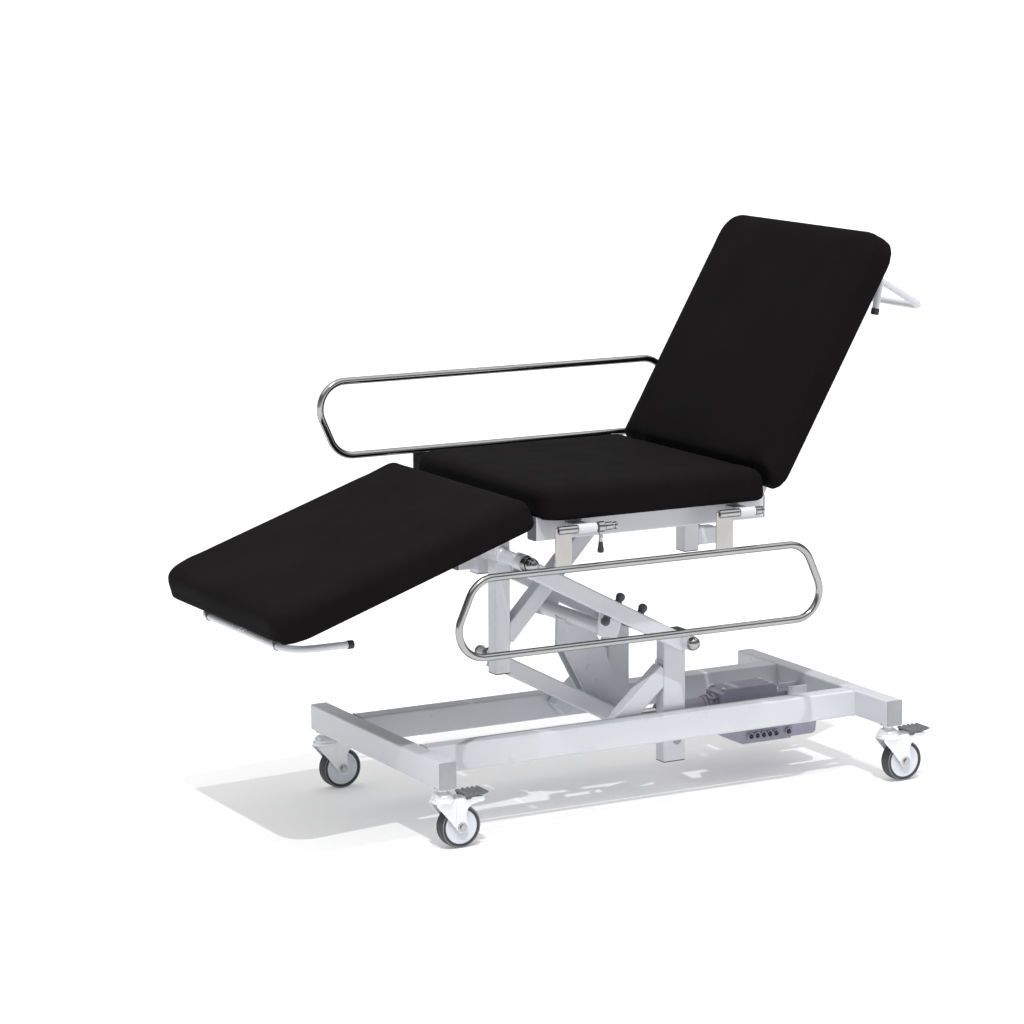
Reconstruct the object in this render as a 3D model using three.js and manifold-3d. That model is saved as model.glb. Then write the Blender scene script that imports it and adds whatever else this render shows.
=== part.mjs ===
// Examination couch on castors: three padded sections on a parallelogram lift, with two fold-down
// guard rails. Millimetres, +X towards the head end, +Y towards the far side, +Z up, floor at Z = 0.
import * as THREE from 'three';
import { mergeVertices } from 'three/addons/utils/BufferGeometryUtils.js';
import Module from 'manifold-3d';

const wasm = await Module();
wasm.setup();

// ---- driving dimensions -------------------------------------------------------------------------
const GAP = 0.3;                    // clearance kept between neighbouring solids
const CENTRE_X = 498.4;              // X of the middle of the whole couch, measured from the foot tube
const WALL = 2.5;                   // wall of the steel tubes

const BASE = { length: 1261, width: 662, tubeW: 44, tubeH: 64, underside: 143 };
const RAIL = { outerY: 196.5, innerY: 150.6 };
const POST = { x0: 699, x1: 760, depth: 38, bottom: 82, top: 398 };
const BRACE = { angle: 42, depth: 46, topX: 735, topZ: 327, length: 232 };

const WHEEL = { radius: 49.5, width: 30, trail: 40, y: 306 };
const CASTOR_X = [22, BASE.length - 22];
const BOLT_R = 5.8;
const PEDAL = { pivotX: 14, pivotZ: 112, toeX: 74, underside: 121, thickness: 11, arm: 23 };

const LIFT = { baseX: 736, seatX: 302, upperZ: 380, lowerZ: 132, rise: 229.4 };
const LINK = { depth: 40, width: 40, y: 173.5, drop: 6.5 };
const SHAFT_R = 14;
const SHAFT_SIDES = 16;             // flats that stand in for the round of the pivot shafts
const COLUMN = { x: 305, y: -56, size: 40, bottom: 328 };
const LOWER_LINK_Y = -13;
const BAND = { x: 540, z: 422.5, size: 36 };
const LEVER = { y: 36, width: 46, eyeX: 668, eyeZ: 156 };
const SOCKET = { pitch: 18, z: 106, radius: 7.5 };
const ACTUATOR = { y: 36, z: 156, rodR: 11, tubeR: 21, rearX: 1176 };

const PAD = { width: 678, thickness: 70.8, underside: 734.2, edge: 26, lip: 8, lipWidth: 49.5 };
const SEAT = { x0: 267, x1: 870 };
const SIDE_RAIL = { x0: 276, x1: 887, height: 56, width: 38, outerY: 288 };
const LEG = { hingeX: 287.5, hingeZ: 714, angle: 18.9, hingeEnd: 266, length: 675 };
const BACK = { hingeX: 896.2, hingeZ: 735.3, angle: 60, hingeEnd: 902.4, length: 665.6,
  relief: [[0, 31], [24, 44], [38, 71]] };
const SECTION_TUBE = { y: 230, width: 30, depth: 22, inset: 41 };
const HAND_BAR = { y: 252, radius: 9, bend: 60, gap: 9.5, slope: 18.9 };
const PUSH_BAR = { inset: 78, y: 214, drop: 194, bend: 22, radius: 9 };
const HANGER = { y: 36, size: 42, bottom: 552, footX: 308, headX: 877, armZ: 584, reach: 70 };
const CROSS = { width: 40, footX: 346, headX: 840 };
const STRUT_PIVOT = { legX: 266, backX: 914, z: 588 };
const STRUT_EYE = { legX: -89, backX: 1149, z: 676, y: 72, lug: 4 };

const GUARD = { y: 350, hingeZ: 710.5, tubeR: 8.5, centreX: 524, near: 90, far: 270 };
const GUARD_HALF = { near: 435, far: 515, bend: 65 };
const GUARD_SLEEVES = [[347, 395], [779, 820]];

// ---- materials ----------------------------------------------------------------------------------
const look = (color, roughness, metalness) => () =>
  new THREE.MeshStandardMaterial({ color, roughness, metalness });
const whitePaint = look(0xdfe1e4, 0.25, 0.0);
const greyPlastic = look(0x8f9196, 0.5, 0.0);
const lilacPlastic = look(0xa5a3b4, 0.45, 0.0);
const chrome = look(0xd8d8d8, 0.08, 1.0);
const zinc = look(0xc9ccd2, 0.3, 1.0);
const blackVinyl = look(0x1b191a, 0.45, 0.0);
const blackRubber = look(0x2c2c2e, 0.8, 0.0);
const tyreRubber = look(0x4c4d50, 0.8, 0.0);
const wheelWhite = look(0xebf0f8, 0.4, 0.0);

// ---- solids -------------------------------------------------------------------------------------
// A closed geometry becomes a manifold solid once only its positions are left.
function solid(geometry) {
  const bare = geometry.clone();
  bare.deleteAttribute('normal');
  bare.deleteAttribute('uv');
  const merged = mergeVertices(bare, 1e-4);
  return new wasm.Manifold(new wasm.Mesh({
    numProp: 3,
    vertProperties: new Float32Array(merged.attributes.position.array),
    triVerts: new Uint32Array(merged.index.array),
  }));
}

function geometryOf(body) {
  const mesh = body.getMesh();
  const geometry = new THREE.BufferGeometry();
  geometry.setAttribute('position', new THREE.BufferAttribute(new Float32Array(mesh.vertProperties), 3));
  geometry.setIndex(new THREE.BufferAttribute(new Uint32Array(mesh.triVerts), 1));
  geometry.computeVertexNormals();
  return geometry;
}

const join = (bodies) => bodies.reduce((all, body) => all.add(body));
const cut = (body, tools) => tools.reduce((rest, tool) => rest.subtract(tool), body);
const ordered = (a, b) => [Math.min(a, b), Math.max(a, b)];
const corners = (p, q) => [p.map((v, i) => Math.min(v, q[i])), p.map((v, i) => Math.max(v, q[i]))];

// A box given by its low and high corner.
function box([x0, y0, z0], [x1, y1, z1]) {
  const geometry = new THREE.BoxGeometry(x1 - x0, y1 - y0, z1 - z0);
  geometry.translate((x0 + x1) / 2, (y0 + y1) / 2, (z0 + z1) / 2);
  return solid(geometry);
}

// A round bar between two points.
function rod(from, to, radius, sides = 12) {
  const a = new THREE.Vector3(...from);
  const b = new THREE.Vector3(...to);
  const geometry = new THREE.CylinderGeometry(radius, radius, a.distanceTo(b), sides);
  const turn = new THREE.Quaternion().setFromUnitVectors(
    new THREE.Vector3(0, 1, 0), b.clone().sub(a).normalize());
  geometry.applyQuaternion(turn);
  geometry.translate(...a.clone().add(b).multiplyScalar(0.5));
  return solid(geometry);
}

const rodY = (x, z, y0, y1, radius, sides) => rod([x, y0, z], [x, y1, z], radius, sides);

function roundedRectangle(width, height, radius) {
  const shape = new THREE.Shape();
  const w = width / 2;
  const h = height / 2;
  shape.moveTo(-w + radius, -h);
  shape.lineTo(w - radius, -h);
  shape.absarc(w - radius, -h + radius, radius, -Math.PI / 2, 0);
  shape.absarc(w - radius, h - radius, radius, 0, Math.PI / 2);
  shape.absarc(-w + radius, h - radius, radius, Math.PI / 2, Math.PI);
  shape.absarc(-w + radius, -h + radius, radius, Math.PI, 1.5 * Math.PI);
  shape.closePath();
  return shape;
}

// A rectangular steel tube, open at both ends, between two points. `width` is measured across the
// tube in the horizontal direction and `depth` in the vertical plane that holds the tube.
function squareTube(from, to, width, depth) {
  const a = new THREE.Vector3(...from);
  const b = new THREE.Vector3(...to);
  const shape = roundedRectangle(width, depth, 4);
  shape.holes.push(new THREE.Path([
    [1, 1], [1, -1], [-1, -1], [-1, 1],
  ].map(([u, v]) => new THREE.Vector2(u * (width / 2 - WALL), v * (depth / 2 - WALL)))));
  const geometry = new THREE.ExtrudeGeometry(shape, {
    depth: a.distanceTo(b), bevelEnabled: false, curveSegments: 1,
  });
  const along = b.clone().sub(a).normalize();
  const level = Math.abs(along.z) > 0.99 ? new THREE.Vector3(0, 1, 0)
    : new THREE.Vector3(0, 0, 1).cross(along).normalize();
  const rise = along.clone().cross(level);
  geometry.applyMatrix4(new THREE.Matrix4().makeBasis(level, rise, along).setPosition(a));
  return solid(geometry);
}

// An outline in the X-Z plane, extruded from y0 to y1.
function plateY(points, y0, y1) {
  const shape = new THREE.Shape(points.map(([x, z]) => new THREE.Vector2(x, z)));
  const geometry = new THREE.ExtrudeGeometry(shape, { depth: y1 - y0, bevelEnabled: false });
  geometry.rotateX(Math.PI / 2);
  geometry.translate(0, y1, 0);
  return solid(geometry);
}

// A round tube bent through corner points with one bend radius.
function bentBar(corners, bend, radius, closed = false, sides = 8) {
  const points = corners.map((corner) => new THREE.Vector3(...corner));
  const path = new THREE.CurvePath();
  const count = points.length;
  let start = null;
  let first = null;
  const last = closed ? count : count - 1;
  for (let i = closed ? 0 : 1; i < last; i += 1) {
    const here = points[i];
    const before = points[(i + count - 1) % count].clone().sub(here).normalize();
    const after = points[(i + 1) % count].clone().sub(here).normalize();
    const tangent = bend / Math.tan(before.angleTo(after) / 2);
    const enter = here.clone().addScaledVector(before, tangent);
    const leave = here.clone().addScaledVector(after, tangent);
    path.add(new THREE.LineCurve3(start ?? (closed ? enter : points[0]), enter));
    path.add(bendCurve(here, before, after, bend));
    first = first ?? enter;
    start = leave;
  }
  path.add(new THREE.LineCurve3(start, closed ? first : points[count - 1]));
  if (closed) path.curves.shift();
  return sweep(path, radius, sides, closed);
}

// A true arc that touches both legs of a corner.
function bendCurve(corner, before, after, bend) {
  const half = before.angleTo(after) / 2;
  const middle = before.clone().add(after).normalize();
  const centre = corner.clone().addScaledVector(middle, bend / Math.sin(half));
  const side = after.clone().sub(before).normalize();
  const curve = new THREE.Curve();
  curve.getPoint = (t, target = new THREE.Vector3()) => {
    const turn = (2 * t - 1) * (Math.PI / 2 - half);
    return target.copy(centre)
      .addScaledVector(middle, -bend * Math.cos(turn))
      .addScaledVector(side, bend * Math.sin(turn));
  };
  return curve;
}

// Rings of `sides` points along a path: straight runs take no extra rings, bends take five steps.
function sweep(path, radius, sides, closed) {
  const stops = [];
  path.curves.forEach((curve, index) => {
    const steps = curve.isLineCurve3 ? 1 : 5;
    for (let i = index ? 1 : 0; i <= steps; i += 1) stops.push(curve.getPoint(i / steps));
  });
  if (closed) stops.pop();
  const count = stops.length;
  const plane = new THREE.Vector3();
  for (let i = 1; i < count - 1; i += 1) {
    plane.add(stops[i].clone().sub(stops[i - 1]).cross(stops[i + 1].clone().sub(stops[i])));
  }
  plane.normalize();
  const positions = [];
  stops.forEach((stop, i) => {
    const previous = stops[closed ? (i + count - 1) % count : Math.max(i - 1, 0)];
    const next = stops[closed ? (i + 1) % count : Math.min(i + 1, count - 1)];
    const along = stop.clone().sub(previous).normalize()
      .add(next.clone().sub(stop).normalize()).normalize();
    const outward = along.clone().cross(plane).normalize();
    for (let k = 0; k < sides; k += 1) {
      const angle = (2 * Math.PI * k) / sides;
      positions.push(...stop.clone().addScaledVector(outward, radius * Math.cos(angle))
        .addScaledVector(plane, radius * Math.sin(angle)));
    }
  });
  const index = [];
  const rings = closed ? count : count - 1;
  for (let i = 0; i < rings; i += 1) {
    for (let k = 0; k < sides; k += 1) {
      const a = i * sides + k;
      const b = i * sides + ((k + 1) % sides);
      const c = ((i + 1) % count) * sides + k;
      const d = ((i + 1) % count) * sides + ((k + 1) % sides);
      index.push(a, b, d, a, d, c);
    }
  }
  if (!closed) {
    for (let k = 1; k < sides - 1; k += 1) {
      index.push(0, k + 1, k);
      const end = (count - 1) * sides;
      index.push(end, end + k, end + k + 1);
    }
  }
  const geometry = new THREE.BufferGeometry();
  geometry.setAttribute('position', new THREE.BufferAttribute(new Float32Array(positions), 3));
  geometry.setIndex(index);
  const body = solid(geometry);
  if (body.volume() > 0) return body;
  geometry.setIndex(index.map((value, i) => index[i - (i % 3) + (2 - (i % 3))]));
  return solid(geometry);
}

// A profile of [radius, height] points turned about a horizontal axle through (x, z), along Y.
function turned(profile, x, y, z, segments = 20) {
  const geometry = new THREE.LatheGeometry(profile.map(([r, h]) => new THREE.Vector2(r, h)), segments);
  geometry.translate(x, y, z);
  return solid(geometry);
}

// ---- assembly -----------------------------------------------------------------------------------
const couch = new THREE.Group();
couch.position.x = -CENTRE_X;

const legSection = new THREE.Group();
const backSection = new THREE.Group();
couch.add(legSection, backSection);

function add(name, body, material, parent = couch) {
  const mesh = new THREE.Mesh(geometryOf(body), material());
  mesh.name = name;
  parent.add(mesh);
}

// The turn of a section, drawn lying flat, about its hinge line.
function hingeTurn(x, z, degrees) {
  return new THREE.Matrix4().makeTranslation(x, 0, z)
    .multiply(new THREE.Matrix4().makeRotationY(THREE.MathUtils.degToRad(degrees)))
    .multiply(new THREE.Matrix4().makeTranslation(-x, 0, -z));
}
const LEG_TURN = hingeTurn(LEG.hingeX, LEG.hingeZ, -LEG.angle);
const BACK_TURN = hingeTurn(BACK.hingeX, BACK.hingeZ, -BACK.angle);

const SIDES = [['near', -1], ['far', 1]];

// ---- base ---------------------------------------------------------------------------------------
function buildBase() {
  const middle = BASE.underside + BASE.tubeH / 2;
  const half = BASE.width / 2;
  [['foot', CASTOR_X[0]], ['head', CASTOR_X[1]]].forEach(([end, x]) => {
    const tube = squareTube([x, -half, middle], [x, half, middle], BASE.tubeW, BASE.tubeH);
    const sockets = [-1, 1].map((side) => rod(
      [x, side * WHEEL.y, BASE.underside - 1], [x, side * WHEEL.y, BASE.underside + WALL + 1], 7));
    const welded = end === 'head' ? tube.add(actuatorBracket()) : tube;
    add(`base_${end}_tube`, cut(welded, sockets), whitePaint);
    SIDES.forEach(([name, side]) => {
      add(`end_cap_${end}_${name}`, tubeCap(x, side, half, middle), greyPlastic);
    });
  });
  SIDES.forEach(([name, side]) => add(`base_side_${name}`, baseSide(side, middle), whitePaint));
}

// A plastic plug whose flange covers the end of a cross tube.
function tubeCap(x, side, half, middle) {
  const inner = { w: BASE.tubeW / 2 - WALL - GAP, h: BASE.tubeH / 2 - WALL - GAP };
  const outer = { w: BASE.tubeW / 2 - 1, h: BASE.tubeH / 2 - 1 };
  const face = side * (half + GAP);
  const [a, b] = [face, face + side * 3].sort((p, q) => p - q);
  const [c, d] = [face + side, face - side * 12].sort((p, q) => p - q);
  return join([
    box([x - outer.w, a, middle - outer.h], [x + outer.w, b, middle + outer.h]),
    box([x - inner.w, c, middle - inner.h], [x + inner.w, d, middle + inner.h]),
  ]);
}

// One side rail with the lift post and the post's diagonal brace welded to its inner face.
function baseSide(side, middle) {
  const railY = side * (RAIL.outerY + RAIL.innerY) / 2;
  const railW = RAIL.outerY - RAIL.innerY;
  const inner = RAIL.innerY + 0.5;
  const postY = side * (inner - POST.depth / 2);
  const postX = (POST.x0 + POST.x1) / 2;
  const rail = squareTube([BASE.tubeW + GAP, railY, middle],
    [BASE.length - BASE.tubeW - GAP, railY, middle], railW, BASE.tubeH);
  const post = squareTube([postX, postY, POST.bottom], [postX, postY, POST.top],
    POST.depth, POST.x1 - POST.x0);
  const slope = THREE.MathUtils.degToRad(BRACE.angle);
  const foot = [BRACE.topX - BRACE.length * Math.cos(slope), BRACE.topZ - BRACE.length * Math.sin(slope)];
  const brace = squareTube([foot[0], postY, foot[1]], [BRACE.topX, postY, BRACE.topZ],
    POST.depth, BRACE.depth);
  const postCore = box([POST.x0 + WALL, postY - POST.depth / 2 + WALL, POST.bottom - 1],
    [POST.x1 - WALL, postY + POST.depth / 2 - WALL, POST.top + 1]);
  const pivots = side < 0 ? [LIFT.upperZ, LIFT.lowerZ] : [LIFT.upperZ];
  const bores = pivots.map((z) => rodY(LIFT.baseX, z,
    postY - POST.depth, postY + POST.depth, SHAFT_R + GAP, SHAFT_SIDES));
  return cut(join([rail, post, cut(brace, [postCore])]), bores);
}

// ---- castors ------------------------------------------------------------------------------------
function buildCastors() {
  [['foot', CASTOR_X[0]], ['head', CASTOR_X[1]]].forEach(([end, x]) => {
    SIDES.forEach(([name, side]) => {
      const y = side * WHEEL.y;
      const axle = x + WHEEL.trail;
      const label = `${end}_${name}`;
      add(`castor_fork_${label}`, castorFork(x, y, axle), zinc);
      add(`castor_wheel_${label}`, wheelCentre(axle, y), wheelWhite);
      add(`castor_tyre_${label}`, tyre(axle, y), tyreRubber);
      if (label !== 'foot_far') add(`brake_pedal_${label}`, brakePedal(axle, y), blackRubber);
    });
  });
}

// Fork with its domed bearing head, the stem that goes up into the base tube, and the axle bolt.
function castorFork(x, y, axle) {
  const crown = BASE.underside - 36;
  const inner = WHEEL.width / 2 + 2;
  const profile = [[0, 0], [24, 0], [27, 6], [24, 20], [12, 27], [12, 34], [0, 34]];
  const head = new THREE.LatheGeometry(profile.map(([r, h]) => new THREE.Vector2(r, h)), 16);
  head.rotateX(Math.PI / 2);
  head.translate(x, y, crown);
  const leg = (side) => plateY([
    [x - 22, crown + 6], [x - 22, crown - 4], [axle - 14, WHEEL.radius - 8],
    [axle + 4, WHEEL.radius - 13], [axle + 14, WHEEL.radius + 4], [axle + 16, crown - 12],
    [axle + 56, crown - 2], [axle + 56, crown + 9], [x + 24, crown + 11],
  ], y + side * (inner + 2) - 2, y + side * (inner + 2) + 2);
  const bridge = box([x - 20, y - inner - 1, crown], [x + 22, y + inner + 1, crown + 5]);
  const stem = rod([x, y, crown + 30], [x, y, BASE.underside + 12], 6.5);
  const bolt = rodY(axle, WHEEL.radius, y - inner - 9, y + inner + 9, BOLT_R, 12);
  return join([solid(head), leg(-1), leg(1), bridge, stem, bolt]);
}

function wheelCentre(axle, y) {
  const half = WHEEL.width / 2;
  const rim = WHEEL.radius - 11;
  return turned([
    [BOLT_R + GAP, half], [16, half], [20, half - 4], [rim - 5, half - 4], [rim, half - 1],
    [rim, 1 - half], [rim - 5, 4 - half], [20, 4 - half], [16, -half],
    [BOLT_R + GAP, -half], [BOLT_R + GAP, half],
  ].reverse(), axle, y, WHEEL.radius);
}

function tyre(axle, y) {
  const half = WHEEL.width / 2 - 1;
  const bore = WHEEL.radius - 11 + GAP;
  return turned([
    [bore, half], [WHEEL.radius - 5, half], [WHEEL.radius, half - 7],
    [WHEEL.radius, 7 - half], [WHEEL.radius - 5, -half], [bore, -half], [bore, half],
  ].reverse(), axle, y, WHEEL.radius);
}

// Ribbed foot pedal above the wheel, on two side arms that pivot on the fork.
function brakePedal(axle, y) {
  const pivot = { x: axle + PEDAL.pivotX, z: PEDAL.pivotZ };
  const toe = axle + PEDAL.toeX;
  const half = PEDAL.arm + 4;
  const top = PEDAL.underside + PEDAL.thickness;
  const arms = [-1, 1].map((side) => plateY([
    [pivot.x - 7, pivot.z - 6], [pivot.x + 7, pivot.z - 6],
    [pivot.x + 12, PEDAL.underside + 2], [pivot.x - 7, PEDAL.underside + 2],
  ], y + side * PEDAL.arm - 1.5, y + side * PEDAL.arm + 1.5));
  const pad = box([pivot.x - 8, y - half, PEDAL.underside], [toe, y + half, top]);
  const ribs = [0, 1, 2, 3].map((i) => box(
    [pivot.x + 6 + i * 14, y - half + 2, top - 1], [pivot.x + 13 + i * 14, y + half - 2, top + 3]));
  return join([...arms, pad, ...ribs]);
}

// ---- lift ---------------------------------------------------------------------------------------
const linkSlope = Math.atan2(LIFT.rise, LIFT.baseX - LIFT.seatX);
const linkPoint = (t, offset, lowerZ) => [
  LIFT.baseX - t * Math.cos(linkSlope) + offset * Math.sin(linkSlope),
  lowerZ + t * Math.sin(linkSlope) + offset * Math.cos(linkSlope),
];
const linkLength = Math.hypot(LIFT.rise, LIFT.baseX - LIFT.seatX);

function buildLift() {
  SIDES.forEach(([name, side]) => add(`upper_link_${name}`, upperLink(side), whitePaint));
  add('lift_lever', liftLever(), whitePaint);
  add('lift_shaft_base', domedShaft(LIFT.baseX, LIFT.upperZ, 222), chrome);
  add('lift_shaft_seat', domedShaft(LIFT.seatX, LIFT.upperZ + LIFT.rise, 222), chrome);
  add('lower_link', lowerLink(), whitePaint);
  buffers().forEach((body, i) => add(`buffer_${i + 1}`, body, blackRubber));
}

// A pivot shaft across the couch whose ends are shallow domes.
function domedShaft(x, z, half) {
  const dome = [[0, 14], [7, 12.5], [13, 7.5], [16, 0]];
  const profile = [
    ...dome.map(([r, h]) => [r, half + h]), [16, half - 4], [SHAFT_R, half - 4],
    [SHAFT_R, 4 - half], [16, 4 - half], ...dome.map(([r, h]) => [r, -half - h]).reverse(),
  ];
  return turned(profile.reverse(), x, 0, z, SHAFT_SIDES);
}

function upperLink(side) {
  const y = side * LINK.y;
  const start = linkPoint(0, -LINK.drop, LIFT.upperZ);
  const end = linkPoint(linkLength, -LINK.drop, LIFT.upperZ);
  const tube = squareTube([start[0], y, start[1]], [end[0], y, end[1]], LINK.width, LINK.depth);
  const seatZ = LIFT.upperZ + LIFT.rise;
  const bosses = [[LIFT.baseX, LIFT.upperZ], [LIFT.seatX, seatZ]].map(([x, z]) => (
    rodY(x, z, y - LINK.width / 2, y + LINK.width / 2, SHAFT_R + 6)));
  const bores = [[LIFT.baseX, LIFT.upperZ], [LIFT.seatX, seatZ]].map(([x, z]) => (
    rodY(x, z, y - LINK.width, y + LINK.width, SHAFT_R + GAP, SHAFT_SIDES)));
  return cut(join([tube, ...bosses]), bores);
}

// Cross tube between the links with the slotted lever that the actuator pushes.
function liftLever() {
  const inner = LINK.y - LINK.width / 2 - GAP;
  const half = BAND.size / 2;
  const band = rodY(BAND.x, BAND.z, -inner + 8, inner - 8, half, 20);
  const ears = SIDES.map(([, side]) => {
    const [a, b] = [side * (inner - 9), side * inner].sort((p, q) => p - q);
    return plateY([
      [BAND.x - 26, BAND.z - 12], [BAND.x + 26, BAND.z - 26],
      [BAND.x + 44, BAND.z + 24], [BAND.x - 10, BAND.z + 62],
    ], a, b);
  });
  const y0 = LEVER.y - LEVER.width / 2;
  const y1 = LEVER.y + LEVER.width / 2;
  const arm = plateY([
    [BAND.x - 20, BAND.z - 4], [BAND.x - 22, 342], [BAND.x + 36, 234], [LEVER.eyeX - 20, LEVER.eyeZ - 10],
    [LEVER.eyeX, LEVER.eyeZ - 20], [LEVER.eyeX + 20, LEVER.eyeZ - 8], [LEVER.eyeX + 18, 205],
    [BAND.x + 88, 342], [BAND.x + 52, 400], [BAND.x + 10, BAND.z + 2],
  ], y0, y1);
  const hollow = plateY([
    [BAND.x - 30, 336], [BAND.x + 20, 214], [LEVER.eyeX - 40, LEVER.eyeZ - 40],
    [LEVER.eyeX + 40, LEVER.eyeZ - 40], [LEVER.eyeX + 40, LEVER.eyeZ + 28],
    [LEVER.eyeX - 6, LEVER.eyeZ + 40],
    [BAND.x + 64, 336], [BAND.x + 40, 380], [BAND.x - 30, 380],
  ], y0 + 7, y1 - 7);
  return join([band, ...ears, cut(arm, [hollow])]);
}

// Lower link on the far side of the column. Its axle reaches only to the near post, so that the
// lever can swing past the inner end.
function lowerLink() {
  const y = LOWER_LINK_Y;
  const start = linkPoint(16, -LINK.drop, LIFT.lowerZ);
  const end = linkPoint(linkLength - 16, -LINK.drop, LIFT.lowerZ);
  const tube = squareTube([start[0], y, start[1]], [end[0], y, end[1]], LINK.width, LINK.depth);
  const seatZ = LIFT.lowerZ + LIFT.rise;
  const axle = rodY(LIFT.baseX, LIFT.lowerZ, -RAIL.innerY + 1, y + 22, SHAFT_R);
  const sleeve = rodY(LIFT.baseX, LIFT.lowerZ, y - 26, y + 22, SHAFT_R + 6);
  const seatSleeve = rodY(LIFT.seatX, seatZ, y - 20, y + 44, SHAFT_R + 5);
  const dome = new THREE.SphereGeometry(SHAFT_R, 14, 8);
  dome.scale(1, 0.9, 1);
  dome.translate(LIFT.seatX, y + 42, seatZ);
  return join([tube, axle, sleeve, seatSleeve, solid(dome)]);
}

// Domed rubber stops: two on top of the near link, one on its underside.
function buffers() {
  const stop = (t, direction) => {
    const surface = direction * (LINK.depth / 2 + GAP) - LINK.drop;
    const centre = linkPoint(t, surface, LIFT.upperZ);
    const tip = linkPoint(t, surface + direction * 14, LIFT.upperZ);
    const geometry = new THREE.SphereGeometry(11, 10, 6);
    geometry.translate(tip[0], -LINK.y, tip[1]);
    const stem = rod([centre[0], -LINK.y, centre[1]], [tip[0], -LINK.y, tip[1]], 9, 10);
    return join([solid(geometry), stem]);
  };
  return [stop(150, 1), stop(208, 1), stop(240, -1)];
}

// Horizontal linear actuator: push rod, outer tube with motor housing, and the control box on its side.
function buildActuator() {
  const { y, z, rodR, tubeR, rearX } = ACTUATOR;
  const front = LEVER.eyeX + 34;
  const eye = rodY(LEVER.eyeX, LEVER.eyeZ, y - 12, y + 12, 13, 20);
  const bore = rodY(LEVER.eyeX, LEVER.eyeZ, y - 20, y + 20, 7);
  const pushRod = rod([LEVER.eyeX + 8, y, z], [front + 198, y, z], rodR);
  add('actuator_rod', cut(join([eye, pushRod]), [bore]), chrome);

  const barrel = rod([front + 88, y, z], [rearX - 150, y, z], tubeR, 16);
  const collars = [0, 1].map((i) => rod([930 + i * 20, y, z], [940 + i * 20, y, z], tubeR + 5, 16));
  const housing = box([955, y - 36, z - 34], [1120, y + 36, z + 42]);
  const tail = box([1110, y - 14, z - 14], [rearX + 14, y + 14, z + 14]);
  const tunnel = rod([front + 60, y, z], [front + 350, y, z], rodR + GAP);
  const pinBore = rodY(rearX, z, y - 30, y + 30, 7);
  add('actuator_body', cut(join([barrel, ...collars, housing, tail]), [tunnel, pinBore]), lilacPlastic);

  const outline = [
    [884, 124], [945, 86], [1092, 86], [1092, 148], [900, 148],
  ];
  const controlBox = plateY(outline, y - 150, y - 36 - GAP);
  const rearBox = box([1091, y - 118, 92], [1170, y - 36 - GAP, 148]);
  const sockets = [0, 1, 2, 3, 4, 6].map((i) => rodY(966 + i * SOCKET.pitch, SOCKET.z,
    y - 160, y - 138, SOCKET.radius));
  add('control_box', cut(join([controlBox, rearBox]), sockets), lilacPlastic);
}

// Two ears and a pin on the head cross tube that hold the rear end of the actuator.
function actuatorBracket() {
  const { y, z, rearX } = ACTUATOR;
  const face = BASE.length - BASE.tubeW + 1;
  return join([
    ...[-1, 1].map((side) => box(
      [rearX - 16, y + side * 21 - 3, z - 12], [face, y + side * 21 + 3, z + 24])),
    rodY(rearX, z, y - 26, y + 26, 6.5),
  ]);
}

// ---- seat ---------------------------------------------------------------------------------------
function buildSeat() {
  const top = PAD.underside - GAP;
  const middle = top - SIDE_RAIL.height / 2;
  SIDES.forEach(([name, side]) => add(`seat_rail_${name}`, seatRail(side, middle), whitePaint));
  add('seat_cross_foot', seatCross(CROSS.footX, middle), whitePaint);
  add('seat_cross_head', seatCross(CROSS.headX, middle).add(hanger(HANGER.headX, 1, middle)), whitePaint);
  add('column', column(top), whitePaint);
  add('seat_pad', pad(SEAT.x0, SEAT.x1, PAD.underside, 40, 12), blackVinyl);
}

// Side rail with the pivot pins of the leg and back sections and the two guard rail hinge sleeves.
function seatRail(side, middle) {
  const y = side * (SIDE_RAIL.outerY - SIDE_RAIL.width / 2);
  const innerY = side * (SIDE_RAIL.outerY - SIDE_RAIL.width);
  const rail = squareTube([SIDE_RAIL.x0, y, middle], [SIDE_RAIL.x1, y, middle],
    SIDE_RAIL.width, SIDE_RAIL.height);
  const pinEnd = side * (SECTION_TUBE.y - SECTION_TUBE.width / 2 - 2);
  const legPin = rodY(LEG.hingeX, LEG.hingeZ, ...ordered(side * (SIDE_RAIL.outerY - 1), pinEnd), 6);
  const backPin = rodY(BACK.hingeX, BACK.hingeZ, ...ordered(innerY, pinEnd), 5);
  const lug = plateY([
    [860, 690], [892, 690], [901.4, 700], [901.6, 735.3], [900.2, 739.3], [896.2, 741],
    [892, 739.3], [890.5, 735], [860, 732],
  ], ...ordered(innerY + side * 3, innerY - side * 4));
  const sleeves = GUARD_SLEEVES.map(([x0, x1]) => join([
    rod([x0, side * GUARD.y, GUARD.hingeZ], [x1, side * GUARD.y, GUARD.hingeZ], 11, 16),
    box(...corners([x0 + 4, side * (GUARD.y - 6), GUARD.hingeZ - 7],
      [x1 - 4, side * (SIDE_RAIL.outerY - 1), GUARD.hingeZ + 7])),
  ]));
  const bores = GUARD_SLEEVES.map(([x0, x1]) => rod(
    [x0 - 5, side * GUARD.y, GUARD.hingeZ], [x1 + 5, side * GUARD.y, GUARD.hingeZ], 7 + GAP));
  return cut(join([rail, legPin, backPin, lug, ...sleeves]), bores);
}

function seatCross(x, middle) {
  const half = SIDE_RAIL.outerY - SIDE_RAIL.width - GAP;
  return squareTube([x, -half, middle], [x, half, middle], CROSS.width, SIDE_RAIL.height);
}

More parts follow.
